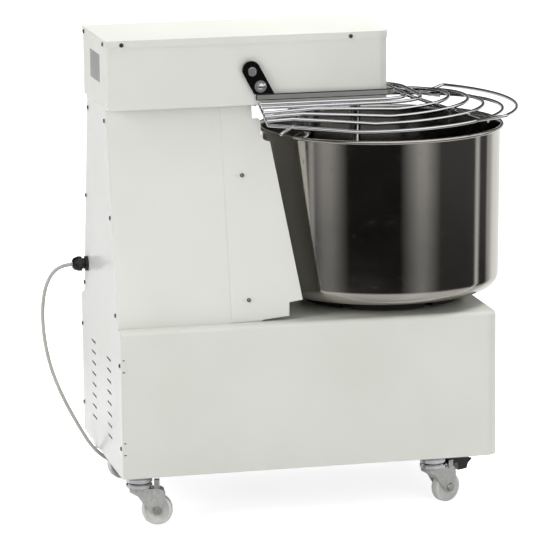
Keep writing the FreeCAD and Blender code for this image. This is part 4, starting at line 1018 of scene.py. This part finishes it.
@dataclass
class Caster:
    """One swivel caster: fork with lower race, wheel, axle bolt, and a brake in front."""

    shop: Workshop
    name: str
    side: float
    setback: float
    swing: float
    wheel_radius: float = 26.0 * MM
    half_width: float = 8.0 * MM
    trail: float = 29.0 * MM
    race_foot: float = 62.2 * MM
    race_top: float = 64 * MM
    race_radius: float = 22.5 * MM
    race_bore: float = 16.9 * MM
    pedal_foot: float = 61.8 * MM

    def hub(self) -> Matrix:
        """Place of the wheel: its axis along local Z."""
        turn = Matrix.Rotation(math.radians(self.swing), 4, "Z")
        middle = Vector((self.side, REAR_FACE - self.setback, self.wheel_radius))
        middle += turn @ Vector((0, -self.trail, 0))
        return Matrix.Translation(middle) @ turn @ Matrix.Rotation(math.radians(90), 4, "Y")

    def wheel(self) -> Piece:
        """Moulded wheel: crowned tread, dished web, hub."""
        r, w = self.wheel_radius, self.half_width
        hub = [(4.15 * MM, w + 1.1 * MM), (7.6 * MM, w + 1.1 * MM), (8.1 * MM, w + 0.7 * MM)]
        web = [(8.4 * MM, w - 1.2 * MM), (9.4 * MM, w - 1.9 * MM), (18.6 * MM, w - 1.9 * MM),
               (19.6 * MM, w - 1.2 * MM), (20.2 * MM, w - 0.3 * MM), (21.0 * MM, w)]
        tread = [(r - 2.4 * MM, w), (r - 1.0 * MM, w - 0.6 * MM), (r - 0.25 * MM, w - 2.0 * MM),
                 (r, w - 4.0 * MM)]
        half = hub + web + tread
        profile = half + [(x, -z) for x, z in reversed(half)]
        return new_piece(f"{self.name}_wheel_moulded", lathe(profile, 96, self.hub()), 40.0)

    def build(self) -> None:
        """Make the wheel, and finish the steel pieces."""
        wheel = self.shop.stand_in(self.wheel(), f"{self.name}_wheel")
        self.shop.paint.dress(wheel, Coat.NYLON)
        fork = self.shop.finish(f"{self.name}_fork", Coat.ZINC, Coat.CHROME, edge_mm=0.5)
        axis = Vector((self.side, REAR_FACE - self.setback))

        def on_race(face: bpy.types.MeshPolygon) -> bool:
            """Whether a face belongs to the bright ball race on the fork."""
            height, near = face.center.z, (face.center.xy - axis).length
            return (height > self.race_foot and near < self.race_radius
                    and (near > self.race_bore or height > self.race_top))

        second_coat(fork, on_race)
        self.shop.finish(f"{self.name}_axle", Coat.NICKEL, edge_mm=0.3)
        if f"{self.name}_brake" in self.shop.frame["nodes"]:
            brake = self.shop.finish(f"{self.name}_brake", Coat.BLACK, Coat.ZINC, edge_mm=0.8)
            second_coat(brake, lambda face: face.center.z < self.pedal_foot)


# ---------------- power cord


@dataclass
class PowerCord:
    """Grey cord from the gland down behind the base, its spare length in a coil, and its plug."""

    shop: Workshop
    length: float = 1.8
    diameter: float = 6.5 * MM
    # x, distance behind the rear face, height, in millimetres
    route: tuple[Spot, ...] = (
        (112.8, 22, 395.0), (112.8, 44, 394.0), (112.8, 63, 381.0), (113.0, 76, 354.0),
        (113.0, 81, 314.0), (111.0, 79, 266.0), (102.0, 70, 216.0), (86.0, 53, 168.0),
        (66.0, 31, 123.0), (50.0, 9, 84.0), (47.0, -20, 60.0), (60.0, -58, 44.0),
        (88.0, -96, 28.0), (126.0, -130, 12.0), (170.0, -154, 3.3), (216.0, -166, 3.3),
        (262.0, -171, 3.3))
    coil_middle: Spot = (292.0, -207.0, 3.3)
    # turns done, radius and height above the floor layer, in millimetres
    turns: tuple[Spot, ...] = (
        (0.0, 39.6, 0.0), (0.25, 39.6, 0.0), (1.0, 39.6, 0.0), (1.25, 32.6, 0.0),
        (2.0, 32.6, 0.0), (2.3, 32.6, 6.6), (3.0, 32.6, 6.6), (3.3, 39.6, 6.6), (4.0, 39.6, 6.6))
    # from the coil's middle to the back end of the plug, and its height, in millimetres
    plug_back: Spot = (14, -36, 37.2)
    plug_body: float = 60.4
    pin_shift: float = 9.5
    pin_radius: float = 2.4
    pin_ends: Pair = (59.5, 76.6)

    def coil(self) -> list[Spot]:
        """Control points of the wound-up length: two turns on the floor and two on top."""
        per_turn, outside = 12, 1.035  # control points lie outside the curve that they pull
        points = []
        x, y, z = self.coil_middle
        for (t0, r0, h0), (t1, r1, h1) in zip(self.turns, self.turns[1:]):
            count = max(2, round((t1 - t0) * per_turn))
            for k in range(count):
                s = k / count
                angle = math.pi / 2 - 2 * math.pi * (t0 + (t1 - t0) * s)
                radius = (r0 + (r1 - r0) * s) * outside
                points.append((x + radius * math.cos(angle), y + radius * math.sin(angle),
                               z + h0 + (h1 - h0) * s))
        return points

    def tail(self) -> list[Spot]:
        """Last half turn, which climbs over the coil and runs straight into the plug."""
        x, y, z = self.coil_middle
        return [(x + 14, y + 38, z + 7.5), (x + 32, y + 26, z + 11), (x + 40, y + 2, z + 17),
                (x + 39, y - 22, z + 26), (x + 27, y - 35, z + 33),
                (x + self.plug_back[0] - 1, y + self.plug_back[1], self.plug_back[2])]

    def build(self) -> None:
        """Lay the cord, and finish gland and plug."""
        points = list(self.route) + self.coil()[1:] + self.tail()
        curve = bpy.data.curves.new("power_cord_line", "CURVE")
        curve.dimensions = "3D"
        spline = curve.splines.new("NURBS")
        spline.points.add(len(points) - 1)
        for target, (x, behind, z) in zip(spline.points, points):
            target.co = (x * MM, REAR_FACE + behind * MM, z * MM, 1.0)
            target.radius = self.diameter / 2
        spline.order_u = 3
        spline.use_endpoint_u = True
        spline.resolution_u = 6
        curve.bevel_depth = 1.0
        curve.bevel_resolution = 5
        curve.use_fill_caps = True
        cord = bpy.data.objects.new("power_cord_line", curve)
        bpy.context.scene.collection.objects.link(cord)
        self.shop.stand_in(cord, "power_cord", "cord_coil")
        curve.materials.append(self.shop.paint.material(Coat.CORD))
        gland = self.shop.finish("cable_gland", Coat.BLACK, edge_mm=0.6)
        plug = self.plug()

    def plug(self) -> Piece:
        """Moulded plug with grip ribs and two round pins."""
        back_x = self.coil_middle[0] + self.plug_back[0]
        behind = self.coil_middle[1] + self.plug_back[1]
        place = (Matrix.Translation((back_x * MM, REAR_FACE + behind * MM, self.plug_back[2] * MM))
                 @ Matrix.Rotation(math.radians(-90), 4, "Y"))
        sleeve = [(0, 0), (3.6, 0), (4.6, 0.6), (5.0, 4), (4.2, 4.6), (4.2, 6), (5.4, 6.6),
                  (5.6, 10), (4.8, 10.6), (4.8, 12), (6.2, 12.6), (6.6, 16), (6.0, 17)]
        grip = [(9.5, 20.5), (14, 24.5), (17.4, 28), (18.7, 31), (18.7, 35), (17.9, 36),
                (17.9, 38), (18.7, 39), (18.7, 43), (17.9, 44), (17.9, 46), (18.7, 47)]
        front = [(18.7, 56), (17.8, 59), (16, 60), (0, 60)]
        mesh = lathe([(r * MM, h * MM) for r, h in sleeve + grip + front], 64, place)
        for shift in (-self.pin_shift, self.pin_shift):
            pin = [place @ Vector((0, shift * MM, end * MM)) for end in self.pin_ends]
            tube(mesh, pin, self.pin_radius * MM, 16)
        plug = self.shop.stand_in(new_piece("plug_moulded", mesh, 50.0), "power_plug")
        self.shop.paint.dress(plug, Coat.CORD, Coat.NICKEL)
        pins_from = (back_x - self.plug_body) * MM
        second_coat(plug, lambda face: face.center.x < pins_from)
        return plug


# ---------------- the whole machine


def main() -> None:
    """Load the model and dress every sub-assembly."""
    logging.basicConfig(level=logging.INFO, format="%(name)s: %(message)s")
    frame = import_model()
    shop = Workshop(frame, PaintShop())
    Studio().build()
    for assembly in (PowerCord(shop), Casing(shop), Drive(shop), Bowl(shop), Tools(shop),
                     Guard(shop), Controls(shop)):
        assembly.build()
        LOG.info("%s is built", type(assembly).__name__)
    shop.finish("caster_mounts", Coat.CHROME, edge_mm=0.4)
    # name, side and setback in millimetres, swing in degrees
    for name, side, setback, swing in (
            ("rear_left", -152, 33, -12), ("rear_right", 152, 33, 15),
            ("front_left", -152, 538.5, 26), ("front_right", 152, 538.5, 8)):
        Caster(shop, name, side * MM, setback * MM, swing).build()
        LOG.info("caster %s is built", name)


if __name__ == "__main__":
    main()
